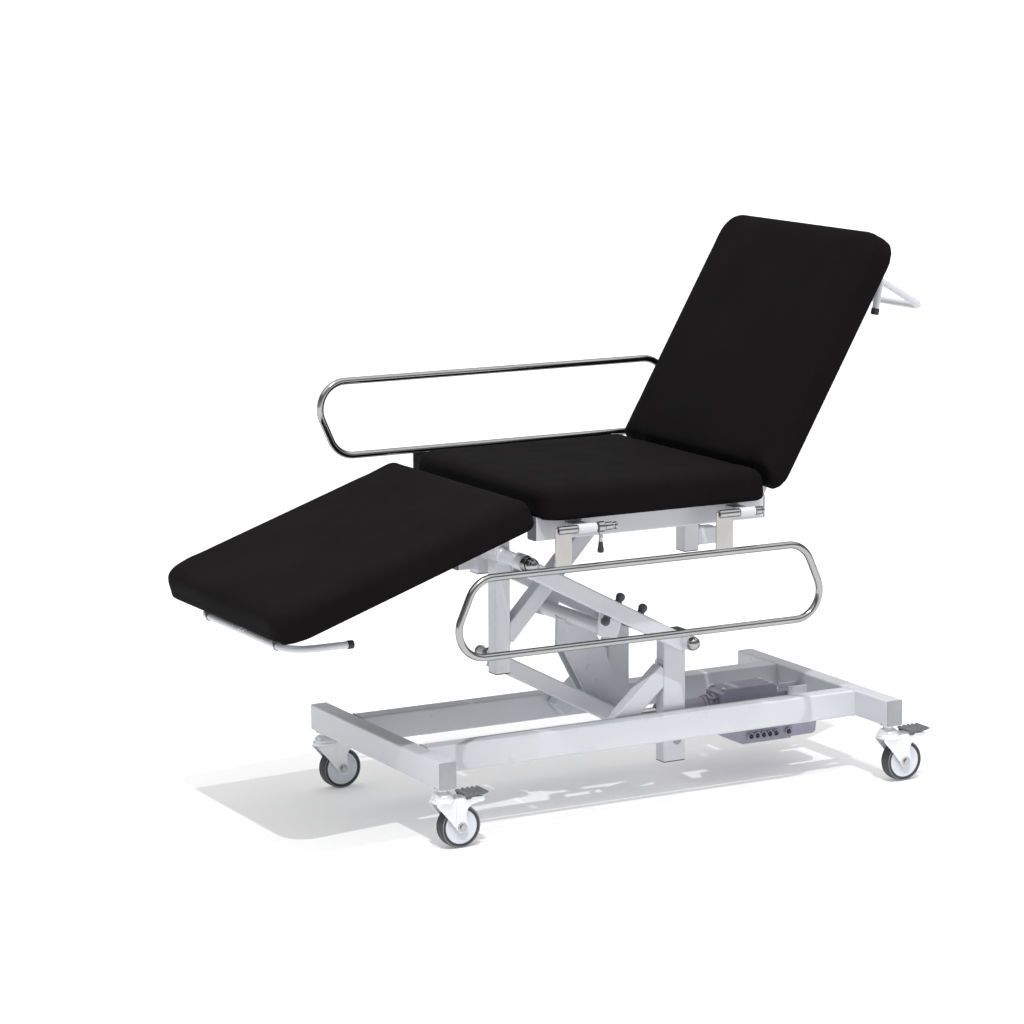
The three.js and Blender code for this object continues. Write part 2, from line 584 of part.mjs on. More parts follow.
// Hanging post with the short arm that carries a strut. The arm points towards the couch's end.
function hanger(x, toEnd, top) {
  const armEnd = x + toEnd * HANGER.reach;
  const post = squareTube([x, HANGER.y, HANGER.bottom], [x, HANGER.y, top], HANGER.size, HANGER.size);
  const arm = squareTube([x, HANGER.y, HANGER.armZ], [armEnd, HANGER.y, HANGER.armZ], 38, 42);
  return join([post, arm]);
}

// Column under the seat with its diagonal brace, the tube that holds the upper pivot shaft, and the
// hanging post that the tube passes through.
function column(top) {
  const { x, y, size, bottom } = COLUMN;
  const post = squareTube([x, y, bottom], [x, y, top], size, size);
  const brace = squareTube([x + 14, y, 412], [x + 262, y, 676], size - 2, 40);
  const beamStart = CROSS.footX + CROSS.width / 2 + GAP;
  const beamEnd = CROSS.headX - CROSS.width / 2 - GAP;
  const beam = squareTube([beamStart, y, top - 24], [beamEnd, y, top - 24], 44, 48);
  const seatZ = LIFT.upperZ + LIFT.rise;
  const reach = LINK.y - LINK.width / 2 - 1;
  const tube = rodY(LIFT.seatX, seatZ, -reach, reach, SHAFT_R + 6);
  const bore = rodY(LIFT.seatX, seatZ, -reach - 5, reach + 5, SHAFT_R + GAP, SHAFT_SIDES);
  const lug = plateY([
    [LIFT.seatX - 20, 342], [LIFT.seatX + 22, 342], [LIFT.seatX + 22, 380], [LIFT.seatX - 20, 380],
  ], y + size / 2 - 3, y + size / 2);
  const hangerTop = top - SIDE_RAIL.height - GAP;
  return cut(join([post, brace, beam, tube, lug, hanger(HANGER.footX, -1, hangerTop)]), [bore]);
}

// An upholstered pad lying flat: plan corners of radius `footR` and `headR`, rounded upper edge, and
// a lip along each side that hangs below the top of the frame.
function pad(x0, x1, underside, footR, headR) {
  const half = PAD.width / 2;
  const bevel = PAD.edge;
  const shape = new THREE.Shape();
  const corner = (cx, cy, r, from) => shape.absarc(cx, cy, r, from, from + Math.PI / 2);
  const inset = (value) => value - bevel;
  corner(inset(x1) - (headR), inset(half) - headR, headR, 0);
  corner(x0 + bevel + footR, inset(half) - footR, footR, Math.PI / 2);
  corner(x0 + bevel + footR, footR - inset(half), footR, Math.PI);
  corner(inset(x1) - headR, headR - inset(half), headR, 1.5 * Math.PI);
  shape.closePath();
  const geometry = new THREE.ExtrudeGeometry(shape, {
    depth: PAD.thickness + PAD.lip - bevel, bevelEnabled: true, bevelThickness: bevel, bevelSize: bevel,
    bevelSegments: 3, curveSegments: 4,
  });
  geometry.translate(0, 0, underside - PAD.lip);
  const spill = 50;
  const below = underside - PAD.lip - 2 * bevel;
  const frame = half - PAD.lipWidth;
  return cut(solid(geometry), [
    box([x0 - spill, -half - spill, below], [x1 + spill, half + spill, underside - PAD.lip]),
    box([x0 - spill, -frame, below], [x1 + spill, frame, underside]),
  ]);
}

// ---- leg and back sections ----------------------------------------------------------------------
// Both sections are drawn flat and then turned about their hinge lines.
function buildLeg() {
  const footEnd = LEG.hingeEnd - LEG.length;
  const tubeEnd = footEnd + SECTION_TUBE.inset;
  const top = PAD.underside - GAP;
  const middle = top - SECTION_TUBE.depth / 2;
  const bottom = LEG.hingeZ - 12;
  SIDES.forEach(([name, side]) => {
    const y = side * SECTION_TUBE.y;
    const tube = squareTube([tubeEnd, y, middle], [276, y, middle], SECTION_TUBE.width, SECTION_TUBE.depth);
    const knuckle = plateY([
      [268, top], [LEG.hingeX + 2, top], [LEG.hingeX + 10, top - 8],
      [LEG.hingeX + 10, bottom], [268, bottom],
    ], y - SECTION_TUBE.width / 2, y + SECTION_TUBE.width / 2);
    const bore = rodY(LEG.hingeX, LEG.hingeZ, y - 30, y + 30, 6 + GAP);
    add(`leg_tube_${name}`, cut(join([tube, knuckle]), [bore]), whitePaint, legSection);
  });
  add('leg_hand_bar', handBar(footEnd + 43, 144), whitePaint, legSection);
  add('leg_cross', sectionCross(STRUT_EYE.legX), whitePaint, legSection);
  add('leg_pad', pad(footEnd, LEG.hingeEnd, PAD.underside, 46, 10), blackVinyl, legSection);
  legSection.applyMatrix4(LEG_TURN);
}

function buildBack() {
  const headEnd = BACK.hingeEnd + BACK.length;
  const tubeEnd = headEnd - SECTION_TUBE.inset;
  const top = PAD.underside - GAP;
  const middle = top - SECTION_TUBE.depth / 2;
  SIDES.forEach(([name, side]) => {
    const y = side * SECTION_TUBE.y;
    const w = SECTION_TUBE.width / 2;
    const tube = squareTube([BACK.hingeX - 10, y, middle], [tubeEnd, y, middle],
      SECTION_TUBE.width, SECTION_TUBE.depth);
    const knuckle = box([BACK.hingeX - 11, y - w, middle], [BACK.hingeX + 2.5, y + w, BACK.hingeZ + 10]);
    const bore = rodY(BACK.hingeX, BACK.hingeZ, y - 30, y + 30, 5 + GAP);
    add(`back_tube_${name}`, cut(join([tube, knuckle]), [bore]), whitePaint, backSection);
  });
  add('back_hand_bar', handBar(headEnd - 53, -110), whitePaint, backSection);
  add('back_push_bar', pushBar(headEnd - PUSH_BAR.inset), whitePaint, backSection);
  add('back_cross', sectionCross(STRUT_EYE.backX), whitePaint, backSection);
  const backPad = cut(pad(BACK.hingeEnd, headEnd, PAD.underside, 40, 46), [backRelief()]);
  add('back_pad', backPad, blackVinyl, backSection);
  backSection.applyMatrix4(BACK_TURN);
}

// Hollow taken off the hinge end of the back pad, so that it clears the seat pad when it is raised.
function backRelief() {
  const spill = 10;
  const edge = BACK.relief.map(([run, rise]) => [BACK.hingeEnd + run, PAD.underside + rise]);
  const above = PAD.underside + PAD.thickness + spill;
  return plateY([
    [BACK.hingeEnd - spill, edge[0][1] - 6], ...edge,
    [edge[edge.length - 1][0], above], [BACK.hingeEnd - spill, above],
  ], -PAD.width, PAD.width);
}

// Cross member of a section with the two lugs on either side of the strut's eye.
function sectionCross(x) {
  const half = SECTION_TUBE.y - SECTION_TUBE.width / 2 - GAP;
  const depth = SECTION_TUBE.depth - 2;
  const z = PAD.underside - GAP - SECTION_TUBE.depth / 2;
  const lugs = [-1, 1].map((side) => {
    const y = STRUT_EYE.y + side * 12;
    return box([x - 11, y - STRUT_EYE.lug / 2, STRUT_EYE.z - 10], [x + 11, y + STRUT_EYE.lug / 2, z - 8]);
  });
  return join([squareTube([x, -half, z], [x, half, z], 30, depth), ...lugs]);
}

// Round bar that hangs on two tabs under the end of a section. Its ends turn back by `reach`, which
// is negative towards the foot, and slope away from the section.
function handBar(x, reach) {
  const frame = PAD.underside - GAP - SECTION_TUBE.depth;
  const z = frame - HAND_BAR.gap - HAND_BAR.radius;
  const drop = Math.abs(reach) * Math.tan(THREE.MathUtils.degToRad(HAND_BAR.slope));
  const { y } = HAND_BAR;
  const bar = bentBar([
    [x + reach, -y, z - drop], [x, -y, z], [x, y, z], [x + reach, y, z - drop],
  ], HAND_BAR.bend, HAND_BAR.radius);
  const tabs = [-1, 1].map((side) => {
    const middle = side * (SECTION_TUBE.y - 45);
    return box([x - 8, middle - 3, z], [x + 8, middle + 3, frame + SECTION_TUBE.depth]);
  });
  return join([bar, ...tabs]);
}

// U-shaped bar that stands out behind the back section.
function pushBar(x) {
  const top = PAD.underside - SECTION_TUBE.depth - GAP - 0.3;
  const low = top - PUSH_BAR.drop;
  const { y } = PUSH_BAR;
  return bentBar([[x, -y, top], [x, -y, low], [x, y, low], [x, y, top]], PUSH_BAR.bend, PUSH_BAR.radius);
}

// ---- struts that hold the leg and back sections ---------------------------------------------------
function buildStruts() {
  const eye = (x, turn) => {
    const point = new THREE.Vector3(x, 0, STRUT_EYE.z).applyMatrix4(turn);
    return [point.x, point.z];
  };
  strut('leg', [STRUT_PIVOT.legX, STRUT_PIVOT.z], eye(STRUT_EYE.legX, LEG_TURN));
  strut('back', [STRUT_PIVOT.backX, STRUT_PIVOT.z], eye(STRUT_EYE.backX, BACK_TURN));
}

// Gas strut: a cylinder that pivots beside the hanger arm and a rod that reaches the section.
function strut(section, pivot, eye) {
  const { y } = STRUT_EYE;
  const direction = new THREE.Vector2(eye[0] - pivot[0], eye[1] - pivot[1]);
  const length = direction.length();
  direction.normalize();
  const at = (t) => [pivot[0] + direction.x * t, y, pivot[1] + direction.y * t];
  const body = join([
    rodY(pivot[0], pivot[1], y - 8, y + 10, 13),
    rod(at(6), at(length * 0.55), 12, 16),
  ]);
  const tunnel = rod(at(18), at(length * 0.6), 5 + GAP);
  add(`${section}_strut_body`, cut(body, [tunnel]), blackRubber);
  const end = rodY(eye[0], eye[1], y - 8, y + 8, 9);
  add(`${section}_strut_rod`, join([rod(at(length * 0.4), at(length - 2), 5), end]), chrome);
}

// ---- guard rails --------------------------------------------------------------------------------
// The near rail hangs below its hinge line and the far rail stands above it.
function buildGuards() {
  SIDES.forEach(([name, side]) => {
    add(`guard_rail_${name}`, guardRail(side), chrome);
    add(`guard_lever_${name}`, guardLever(side), zinc);
  });
}

function guardRail(side) {
  const y = side * GUARD.y;
  const up = side;
  const z = (distance) => GUARD.hingeZ + up * distance;
  const { near, far, bend } = GUARD_HALF;
  const loop = bentBar([
    [GUARD.centreX - near, y, z(GUARD.near)], [GUARD.centreX + near, y, z(GUARD.near)],
    [GUARD.centreX + far, y, z(GUARD.far)], [GUARD.centreX - far, y, z(GUARD.far)],
  ], bend, GUARD.tubeR, true);
  const arms = [[290, 332], [716, 762]].map(([x0, x1]) => box(
    ...corners([x0, y - 2.5, z(-6)], [x1, y + 2.5, z(GUARD.near)])));
  const pins = [[297, 450], [724, 846]].map(([x0, x1]) => rod(
    [x0, y, GUARD.hingeZ], [x1, y, GUARD.hingeZ], 7));
  return join([loop, ...arms, ...pins]);
}

// Clamp collar on the hinge pin with a short hanging lever.
function guardLever(side) {
  const y = side * GUARD.y;
  const [x0, x1] = [400, 416];
  const collar = cut(rod([x0, y, GUARD.hingeZ], [x1, y, GUARD.hingeZ], 12, 16),
    [rod([x0 - 5, y, GUARD.hingeZ], [x1 + 5, y, GUARD.hingeZ], 7 + GAP, 20)]);
  const stem = box([x0 + 3, y - 3, GUARD.hingeZ - 38], [x1 - 3, y + 3, GUARD.hingeZ - 10]);
  const tip = rod([x0 + 8, y, GUARD.hingeZ - 60], [x0 + 8, y, GUARD.hingeZ - 37], 6.5);
  return join([collar, stem, tip]);
}

buildBase();
buildCastors();
buildLift();
buildActuator();
buildSeat();
buildLeg();
buildBack();
buildStruts();
buildGuards();

export default couch;
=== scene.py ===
import math

import bmesh
import bpy
from mathutils import Matrix, Vector


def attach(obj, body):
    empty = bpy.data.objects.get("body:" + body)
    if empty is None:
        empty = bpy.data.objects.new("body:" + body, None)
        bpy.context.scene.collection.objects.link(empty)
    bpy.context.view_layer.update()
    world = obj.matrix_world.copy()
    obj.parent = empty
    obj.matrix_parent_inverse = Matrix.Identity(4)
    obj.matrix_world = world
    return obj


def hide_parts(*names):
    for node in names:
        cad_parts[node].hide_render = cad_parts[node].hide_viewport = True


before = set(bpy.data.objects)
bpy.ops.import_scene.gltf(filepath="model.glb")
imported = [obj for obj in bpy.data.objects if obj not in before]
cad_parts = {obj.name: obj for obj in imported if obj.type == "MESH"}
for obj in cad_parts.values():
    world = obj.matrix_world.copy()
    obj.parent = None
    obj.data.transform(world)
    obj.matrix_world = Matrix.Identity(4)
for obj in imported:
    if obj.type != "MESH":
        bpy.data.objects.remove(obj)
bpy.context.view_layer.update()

# ---- frame of the couch ----
# Lengths below are in millimetres. X is measured from the outer face of the foot cross tube, as in
# the CAD source, and `at` turns a point into metres in the shared frame.
CENTRE_X = 498.4
MM = 0.001
LEG_HINGE = (287.5, 714.0)
BACK_HINGE = (896.2, 735.3)
LIFT_BASE = (736.0, 380.0)
LIFT_SEAT = (302.0, 609.4)
LOWER_Z = 132.0
LEG_ANGLE = 18.9
BACK_ANGLE = 60.0
SIDES = (("near", -1), ("far", 1))


def at(x, y, z):
    return Vector(((x - CENTRE_X) * MM, y * MM, z * MM))


def hinge_turn(hinge, degrees):
    """Turn about a line along Y through the hinge; positive lifts the foot side."""
    pivot = at(hinge[0], 0, hinge[1])
    return (Matrix.Translation(pivot) @ Matrix.Rotation(math.radians(degrees), 4, "Y")
            @ Matrix.Translation(-pivot))


LEG_TURN = hinge_turn(LEG_HINGE, -LEG_ANGLE)
BACK_TURN = hinge_turn(BACK_HINGE, -BACK_ANGLE)


# ---- camera ----
# Where the eye is, in metres, and its yaw, pitch and roll in degrees.
EYE = (-3.8544, -6.7959, 2.0611)
EYE_TURN = (28.744, 10.004, -0.2446)


def make_camera():
    yaw, pitch, roll = (math.radians(a) for a in EYE_TURN)
    forward = Vector((math.sin(yaw) * math.cos(pitch), math.cos(yaw) * math.cos(pitch), -math.sin(pitch)))
    level = Vector((math.cos(yaw), -math.sin(yaw), 0.0))
    right = level * math.cos(roll) + level.cross(forward) * math.sin(roll)
    up = right.cross(forward)
    data = bpy.data.cameras.new("camera")
    data.lens = 117.88
    data.sensor_width = 36.0
    data.clip_end = 100.0
    camera = bpy.data.objects.new("camera", data)
    basis = Matrix((right, up, -forward)).transposed().to_4x4()
    camera.matrix_world = Matrix.Translation(EYE) @ basis
    bpy.context.scene.collection.objects.link(camera)
    bpy.context.scene.camera = camera


make_camera()


# ---- materials ----
class Nodes:
    """A material with short calls for its nodes."""

    def __init__(self, name):
        self.material = bpy.data.materials.new(name)
        self.material.use_nodes = True
        self.tree = self.material.node_tree
        self.shader = self.tree.nodes["Principled BSDF"]
        self.place = self.tree.nodes.new("ShaderNodeTexCoord").outputs["Object"]

    def add(self, kind, values=(), **settings):
        node = self.tree.nodes.new(kind)
        for key, value in settings.items():
            setattr(node, key, value)
        for key, value in dict(values).items():
            node.inputs[key].default_value = value
        return node

    def link(self, source, target):
        self.tree.links.new(source, target)

    def scaled(self, scale):
        node = self.add("ShaderNodeMapping", {"Scale": scale})
        self.link(self.place, node.inputs["Vector"])
        return node.outputs["Vector"]

    def noise(self, scale, detail=3.0, roughness=0.5, stretch=(1, 1, 1)):
        node = self.add("ShaderNodeTexNoise", {"Scale": scale, "Detail": detail, "Roughness": roughness})
        self.link(self.scaled(stretch), node.inputs["Vector"])
        return node.outputs["Fac"]

    def cells(self, scale, feature="DISTANCE_TO_EDGE"):
        node = self.add("ShaderNodeTexVoronoi", {"Scale": scale}, feature=feature)
        self.link(self.scaled((1, 1, 1)), node.inputs["Vector"])
        return node.outputs["Distance"]

    def span(self, source, low, high, start=0.3, end=0.7):
        node = self.add("ShaderNodeMapRange", {
            "From Min": start, "From Max": end, "To Min": low, "To Max": high})
        self.link(source, node.inputs["Value"])
        return node.outputs["Result"]

    def mixed(self, factor, first, second):
        node = self.add("ShaderNodeMix", data_type="RGBA")
        self.link(factor, node.inputs["Factor"])
        for value, socket in ((first, node.inputs["A"]), (second, node.inputs["B"])):
            if hasattr(value, "is_linked"):
                self.link(value, socket)
            else:
                socket.default_value = (*value, 1.0)
        return node.outputs["Result"]

    def total(self, first, second, share=1.0):
        node = self.add("ShaderNodeMath", operation="MULTIPLY_ADD")
        self.link(second, node.inputs[0])
        node.inputs[1].default_value = share
        self.link(first, node.inputs[2])
        return node.outputs["Value"]

    def bump(self, height, strength, distance):
        node = self.add("ShaderNodeBump", {"Strength": strength, "Distance": distance})
        self.link(height, node.inputs["Height"])
        self.link(node.outputs["Normal"], self.shader.inputs["Normal"])

    def colour(self, source):
        self.link(source, self.shader.inputs["Base Color"])

    def rough(self, source):
        self.link(source, self.shader.inputs["Roughness"])

    def fixed(self, **values):
        for key, value in values.items():
            self.shader.inputs[key.replace("_", " ")].default_value = value


def linear(r, g, b):
    return tuple(((c / 255 + 0.055) / 1.055) ** 2.4 if c > 10 else c / 255 / 12.92 for c in (r, g, b))


def paint_material():
    m = Nodes("white_powder_coat")
    cloud = m.span(m.noise(4, 2), 0.0, 1.0)
    base = m.mixed(cloud, linear(205, 207, 213), linear(209, 211, 217))
    scuff = m.span(m.noise(55, 6, 0.7), 0.0, 0.5, 0.60, 0.78)
    m.colour(m.mixed(scuff, base, linear(197, 198, 204)))
    m.rough(m.span(m.noise(16, 4), 0.27, 0.34))
    m.bump(m.noise(1100, 2, 0.4), 0.04, 0.0003)
    m.fixed(Coat_Weight=0.2, Coat_Roughness=0.10)
    return m.material


def plastic_material(name, first, second, roughness, grain):
    m = Nodes(name)
    base = m.mixed(m.span(m.noise(25, 4), 0.0, 1.0), first, second)
    m.colour(base)
    m.rough(m.span(m.noise(40, 3), roughness - 0.05, roughness + 0.06))
    m.bump(m.total(m.noise(1400, 2), m.cells(900), 0.6), grain, 0.0003)
    return m.material


def metal_material(name, first, second, rough_low, rough_high, stretch, bump, metallic=1.0, edge=1.0):
    m = Nodes(name)
    m.colour(m.mixed(m.span(m.noise(18, 4), 0.0, 1.0), first, second))
    m.rough(m.span(m.noise(30, 5, 0.6, stretch), rough_low, rough_high))
    m.bump(m.noise(350, 3, 0.5, stretch), bump, 0.0002)
    m.fixed(Metallic=metallic, Specular_Tint=(edge, edge, edge, 1.0))
    return m.material


def vinyl_material():
    """Black upholstery vinyl: small pebbled grain, fine pores and faint stretch clouds, with painted shade
    darkening the valleys of the grain.
    """
    m = Nodes("black_vinyl")
    warp = m.noise(90, 2)
    grain = m.cells(620, "SMOOTH_F1")
    pores = m.noise(2600, 2)
    cloud = m.span(m.noise(5, 3), 0.0, 1.0)
    base = m.mixed(cloud, linear(17, 15, 16), linear(20, 18, 19))
    # Painted shade: where the grain's bump sinks into valleys, the colour is mixed towards a darker black.
    grain_valley_shade = m.span(grain, 0.0, 0.55, 0.45, 0.75)
    m.colour(m.mixed(grain_valley_shade, base, linear(13, 12, 12)))
    m.rough(m.span(m.total(m.noise(11, 3), grain, 0.15), 0.76, 0.84, 0.35, 0.75))
    height = m.total(m.total(m.total(pores, pores, -0.75), warp, 0.35), grain, -0.9)
    m.bump(height, 0.30, 0.0006)
    m.fixed(Specular_IOR_Level=0.05)
    return m.material


def rubber_material(name, first, second, roughness):
    m = Nodes(name)
    base = m.mixed(m.span(m.noise(35, 5), 0.0, 1.0), first, second)
    dust = m.span(m.noise(160, 5, 0.65), 0.0, 0.25, 0.52, 0.8)
    m.colour(m.mixed(dust, base, tuple(c * 1.6 + 0.01 for c in first)))
    m.rough(m.span(m.noise(50, 4), roughness - 0.08, roughness + 0.08))
    m.bump(m.noise(1200, 3), 0.18, 0.0003)
    return m.material


PAINT = paint_material()
CAP = plastic_material("grey_plug_plastic", linear(150, 151, 156), linear(160, 161, 166), 0.45, 0.15)
DARK_PLUG = plastic_material("dark_plug_plastic", linear(72, 73, 78), linear(84, 85, 90), 0.5, 0.15)
LILAC = plastic_material("actuator_plastic", linear(146, 144, 160), linear(154, 152, 168), 0.42, 0.12)
LILAC_DEEP = plastic_material("socket_plastic", linear(62, 60, 70), linear(74, 72, 84), 0.5, 0.1)
WHEEL = plastic_material("wheel_plastic", linear(208, 212, 220), linear(215, 219, 227), 0.33, 0.06)
# Painted shade: the chrome's edge tint of 0.15 darkens its reflections towards the outline of each tube, in
# place of dark surroundings mirrored there.
CHROME = metal_material("chrome", (0.38, 0.38, 0.385), (0.42, 0.42, 0.425), 0.10, 0.16, (1, 1, 1), 0.02,
                        1.0, 0.15)
STEEL = metal_material("brushed_steel", (0.47, 0.455, 0.445), (0.52, 0.505, 0.495), 0.30, 0.40,
                       (9, 9, 1), 0.05)
ZINC = metal_material("bright_zinc", (0.80, 0.81, 0.83), (0.85, 0.86, 0.88), 0.32, 0.42, (1, 1, 1), 0.03, 0.4)
BOLT = metal_material("bolt_zinc", (0.44, 0.45, 0.46), (0.52, 0.53, 0.54), 0.30, 0.42, (1, 1, 1), 0.05)
VINYL = vinyl_material()
BACKING = plastic_material("black_backing_board", linear(26, 26, 27), linear(34, 34, 35), 0.62, 0.4)
RUBBER = rubber_material("black_rubber", linear(34, 34, 36), linear(46, 46, 48), 0.6)
BUFFER = rubber_material("buffer_rubber", linear(70, 71, 75), linear(82, 83, 88), 0.5)
TYRE = rubber_material("tyre_rubber", linear(56, 57, 60), linear(64, 65, 68), 0.6)
PEDAL = rubber_material("pedal_rubber", linear(96, 97, 100), linear(108, 109, 112), 0.6)


# ---- mesh tools ----
# Each tool adds closed shapes to a bmesh. Vectors are in metres, plain numbers in millimetres.
def arc_corner(cx, cy, radius, start, steps):
    return [(cx + radius * math.cos(start + k * math.pi / 2 / steps),
             cy + radius * math.sin(start + k * math.pi / 2 / steps)) for k in range(steps + 1)]


def rounded_rectangle(width, height, radius, steps=4):
    w, h, q = width / 2, height / 2, math.pi / 2
    return (arc_corner(w - radius, h - radius, radius, 0, steps)
            + arc_corner(radius - w, h - radius, radius, q, steps)
            + arc_corner(radius - w, radius - h, radius, 2 * q, steps)
            + arc_corner(w - radius, radius - h, radius, 3 * q, steps))


def circle(radius, sides=28):
    return [(radius * math.cos(2 * math.pi * k / sides), radius * math.sin(2 * math.pi * k / sides))
            for k in range(sides)]


def add_rings(bm, rings, closed=False):
    """Skins a list of rings of points; `closed` joins the last ring to the first."""
    made = [[bm.verts.new(p) for p in ring] for ring in rings]
    count = len(rings[0])
    pairs = list(zip(made, made[1:])) + ([(made[-1], made[0])] if closed else [])
    for low, high in pairs:
        for k in range(count):
            bm.faces.new((low[k], low[(k + 1) % count], high[(k + 1) % count], high[k]))
    if not closed:
        bm.faces.new(list(reversed(made[0])))
        bm.faces.new(made[-1])


def frames(points, plane, closed):
    """The (point, sideways vector) pairs of a flat path whose plane has the given normal."""
    count = len(points)
    out = []
    for i, point in enumerate(points):
        before = points[i - 1] if closed or i else point
        after = points[(i + 1) % count] if closed or i < count - 1 else point
        one = (point - before).normalized() if (point - before).length > 1e-9 else None
        two = (after - point).normalized() if (after - point).length > 1e-9 else None
        along = ((one or two) + (two or one)).normalized()
        out.append((point, along.cross(plane).normalized()))
    return out


def sweep(bm, points, profile, plane, closed=False):
    plane = Vector(plane).normalized()
    rings = [[p + side * u * MM + plane * v * MM for u, v in profile]
             for p, side in frames(points, plane, closed)]
    add_rings(bm, rings, closed)


def bend_path(corners, bend, closed=False, steps=10):
    """Corner points in metres turned into a path with round bends of `bend` millimetres."""
    count = len(corners)
    radius = bend * MM
    path = [] if closed else [corners[0]]
    for i in (range(count) if closed else range(1, count - 1)):
        here = corners[i]
        before = (corners[i - 1] - here).normalized()
        after = (corners[(i + 1) % count] - here).normalized()
        half = before.angle(after) / 2
        middle = (before + after).normalized()
        side = (after - before).normalized()
        centre = here + middle * (radius / math.sin(half))
        for k in range(steps + 1):
            turn = (2 * k / steps - 1) * (math.pi / 2 - half)
            path.append(centre - middle * radius * math.cos(turn) + side * radius * math.sin(turn))
    return path if closed else path + [corners[-1]]


def across(a, b):
    """Level side and upper side vectors of a straight member."""
    along = (b - a).normalized()
    level = Vector((0, 1, 0)) if abs(along.z) > 0.99 else Vector((0, 0, 1)).cross(along).normalized()
    return along, level, along.cross(level)


TUBE_WALL = 2.5
TUBE_RIM = 0.6


def square_tube(bm, a, b, width, depth, corner=4.0):
    """Open rectangular tube: outer skin, bore and softened end rims."""
    wall, rim = TUBE_WALL, TUBE_RIM
    along, level, rise = across(a, b)
    length = (b - a).length

    def ring(t, inset, radius):
        shape = rounded_rectangle(width - 2 * inset, depth - 2 * inset, max(radius, 0.5))
        return [a + along * t + level * u * MM + rise * v * MM for u, v in shape]

    soft = rim * MM
    rings = [ring(soft, 0, corner), ring(length - soft, 0, corner), ring(length, rim, corner - rim),
             ring(length, wall, corner - wall), ring(0, wall, corner - wall), ring(0, rim, corner - rim)]
    add_rings(bm, rings, closed=True)


def solid_bar(bm, a, b, width, depth, corner=3.0, soft=0.8):
    """Rectangular bar with rounded long edges and softened ends."""
    along, level, rise = across(a, b)
    length = (b - a).length

    def ring(t, inset):
        shape = rounded_rectangle(width - 2 * inset, depth - 2 * inset, corner - inset * 0.5)
        return [a + along * t + level * u * MM + rise * v * MM for u, v in shape]

    s = soft * MM
    add_rings(bm, [ring(0, soft), ring(s * 0.3, soft * 0.3), ring(s, 0), ring(length - s, 0),
                   ring(length - s * 0.3, soft * 0.3), ring(length, soft)])


def lathe(bm, origin, axis, profile, sides=32):
    """Turns (radius, distance) points about an axis; an end at radius 0 closes to a point."""
    axis = Vector(axis).normalized()
    helper = Vector((0, 0, 1)) if abs(axis.z) < 0.9 else Vector((1, 0, 0))
    one = axis.cross(helper).normalized()
    two = axis.cross(one)
    rows = []
    for radius, distance in profile:
        centre = origin + axis * distance * MM
        if radius < 1e-6:
            rows.append([bm.verts.new(centre)])
            continue
        rows.append([bm.verts.new(centre + (one * math.cos(t) + two * math.sin(t)) * radius * MM)
                     for t in (2 * math.pi * k / sides for k in range(sides))])
    closed = abs(profile[0][0] - profile[-1][0]) < 1e-6 and abs(profile[0][1] - profile[-1][1]) < 1e-6
    if closed:
        for v in rows.pop():
            bm.verts.remove(v)
    pairs = list(zip(rows, rows[1:])) + ([(rows[-1], rows[0])] if closed else [])
    for low, high in pairs:
        for k in range(sides):
            quad = [low[k % len(low)], low[(k + 1) % len(low)],
                    high[(k + 1) % len(high)], high[k % len(high)]]
            bm.faces.new([v for i, v in enumerate(quad) if v not in quad[:i]])
    if not closed:
        for row in (rows[0], rows[-1]):
            if len(row) > 1:
                bm.faces.new(row)


def sleeve(bore, radius, length, edge=1.0):
    """Profile of a bushing with chamfered rims; a bore of 0 makes a solid pin."""
    profile = [(bore, 0), (radius - edge, 0), (radius, edge), (radius, length - edge),
               (radius - edge, length), (bore, length)]
    return profile + profile[:1] if bore else profile


def mirrored(profile):
    return [(radius, -distance) for radius, distance in reversed(profile)]


def round_bar(bm, a, b, radius, soft=1.0, sides=28):
    length = (b - a).length / MM
    lathe(bm, a, b - a, [(0, 0), (radius - soft, 0), (radius - soft * 0.3, soft * 0.3), (radius, soft),
                         (radius, length - soft), (radius - soft * 0.3, length - soft * 0.3),
                         (radius - soft, length), (0, length)], sides)


def round_bar_y(bm, x, z, y0, y1, radius, soft=1.0, sides=28):
    round_bar(bm, at(x, y0, z), at(x, y1, z), radius, soft, sides)


def plate_y(bm, outline, y0, y1, soft=1.0, steps=2):
    """An outline of (x, z) points, extruded along Y, with all its edges rounded."""
    part = bmesh.new()
    low = [part.verts.new(at(x, y0, z)) for x, z in outline]
    high = [part.verts.new(at(x, y1, z)) for x, z in outline]
    part.faces.new(low)
    part.faces.new(list(reversed(high)))
    count = len(outline)
    for k in range(count):
        part.faces.new((low[k], high[k], high[(k + 1) % count], low[(k + 1) % count]))
    bmesh.ops.recalc_face_normals(part, faces=part.faces[:])
    if soft:
        bmesh.ops.bevel(part, geom=part.edges[:], offset=soft * MM, segments=steps,
                        profile=0.5, affect="EDGES", clamp_overlap=True)
    merge(bm, part)


def block(bm, low, high, soft=1.5, steps=3):
    """A box between two corners with rounded edges."""
    (x0, y0, z0), (x1, y1, z1) = low, high
    plate_y(bm, [(x0, z0), (x1, z0), (x1, z1), (x0, z1)], min(y0, y1), max(y0, y1), soft, steps)


def merge(bm, part):
    scratch = bpy.data.meshes.new("scratch")
    part.to_mesh(scratch)
    part.free()
    bm.from_mesh(scratch)
    bpy.data.meshes.remove(scratch)


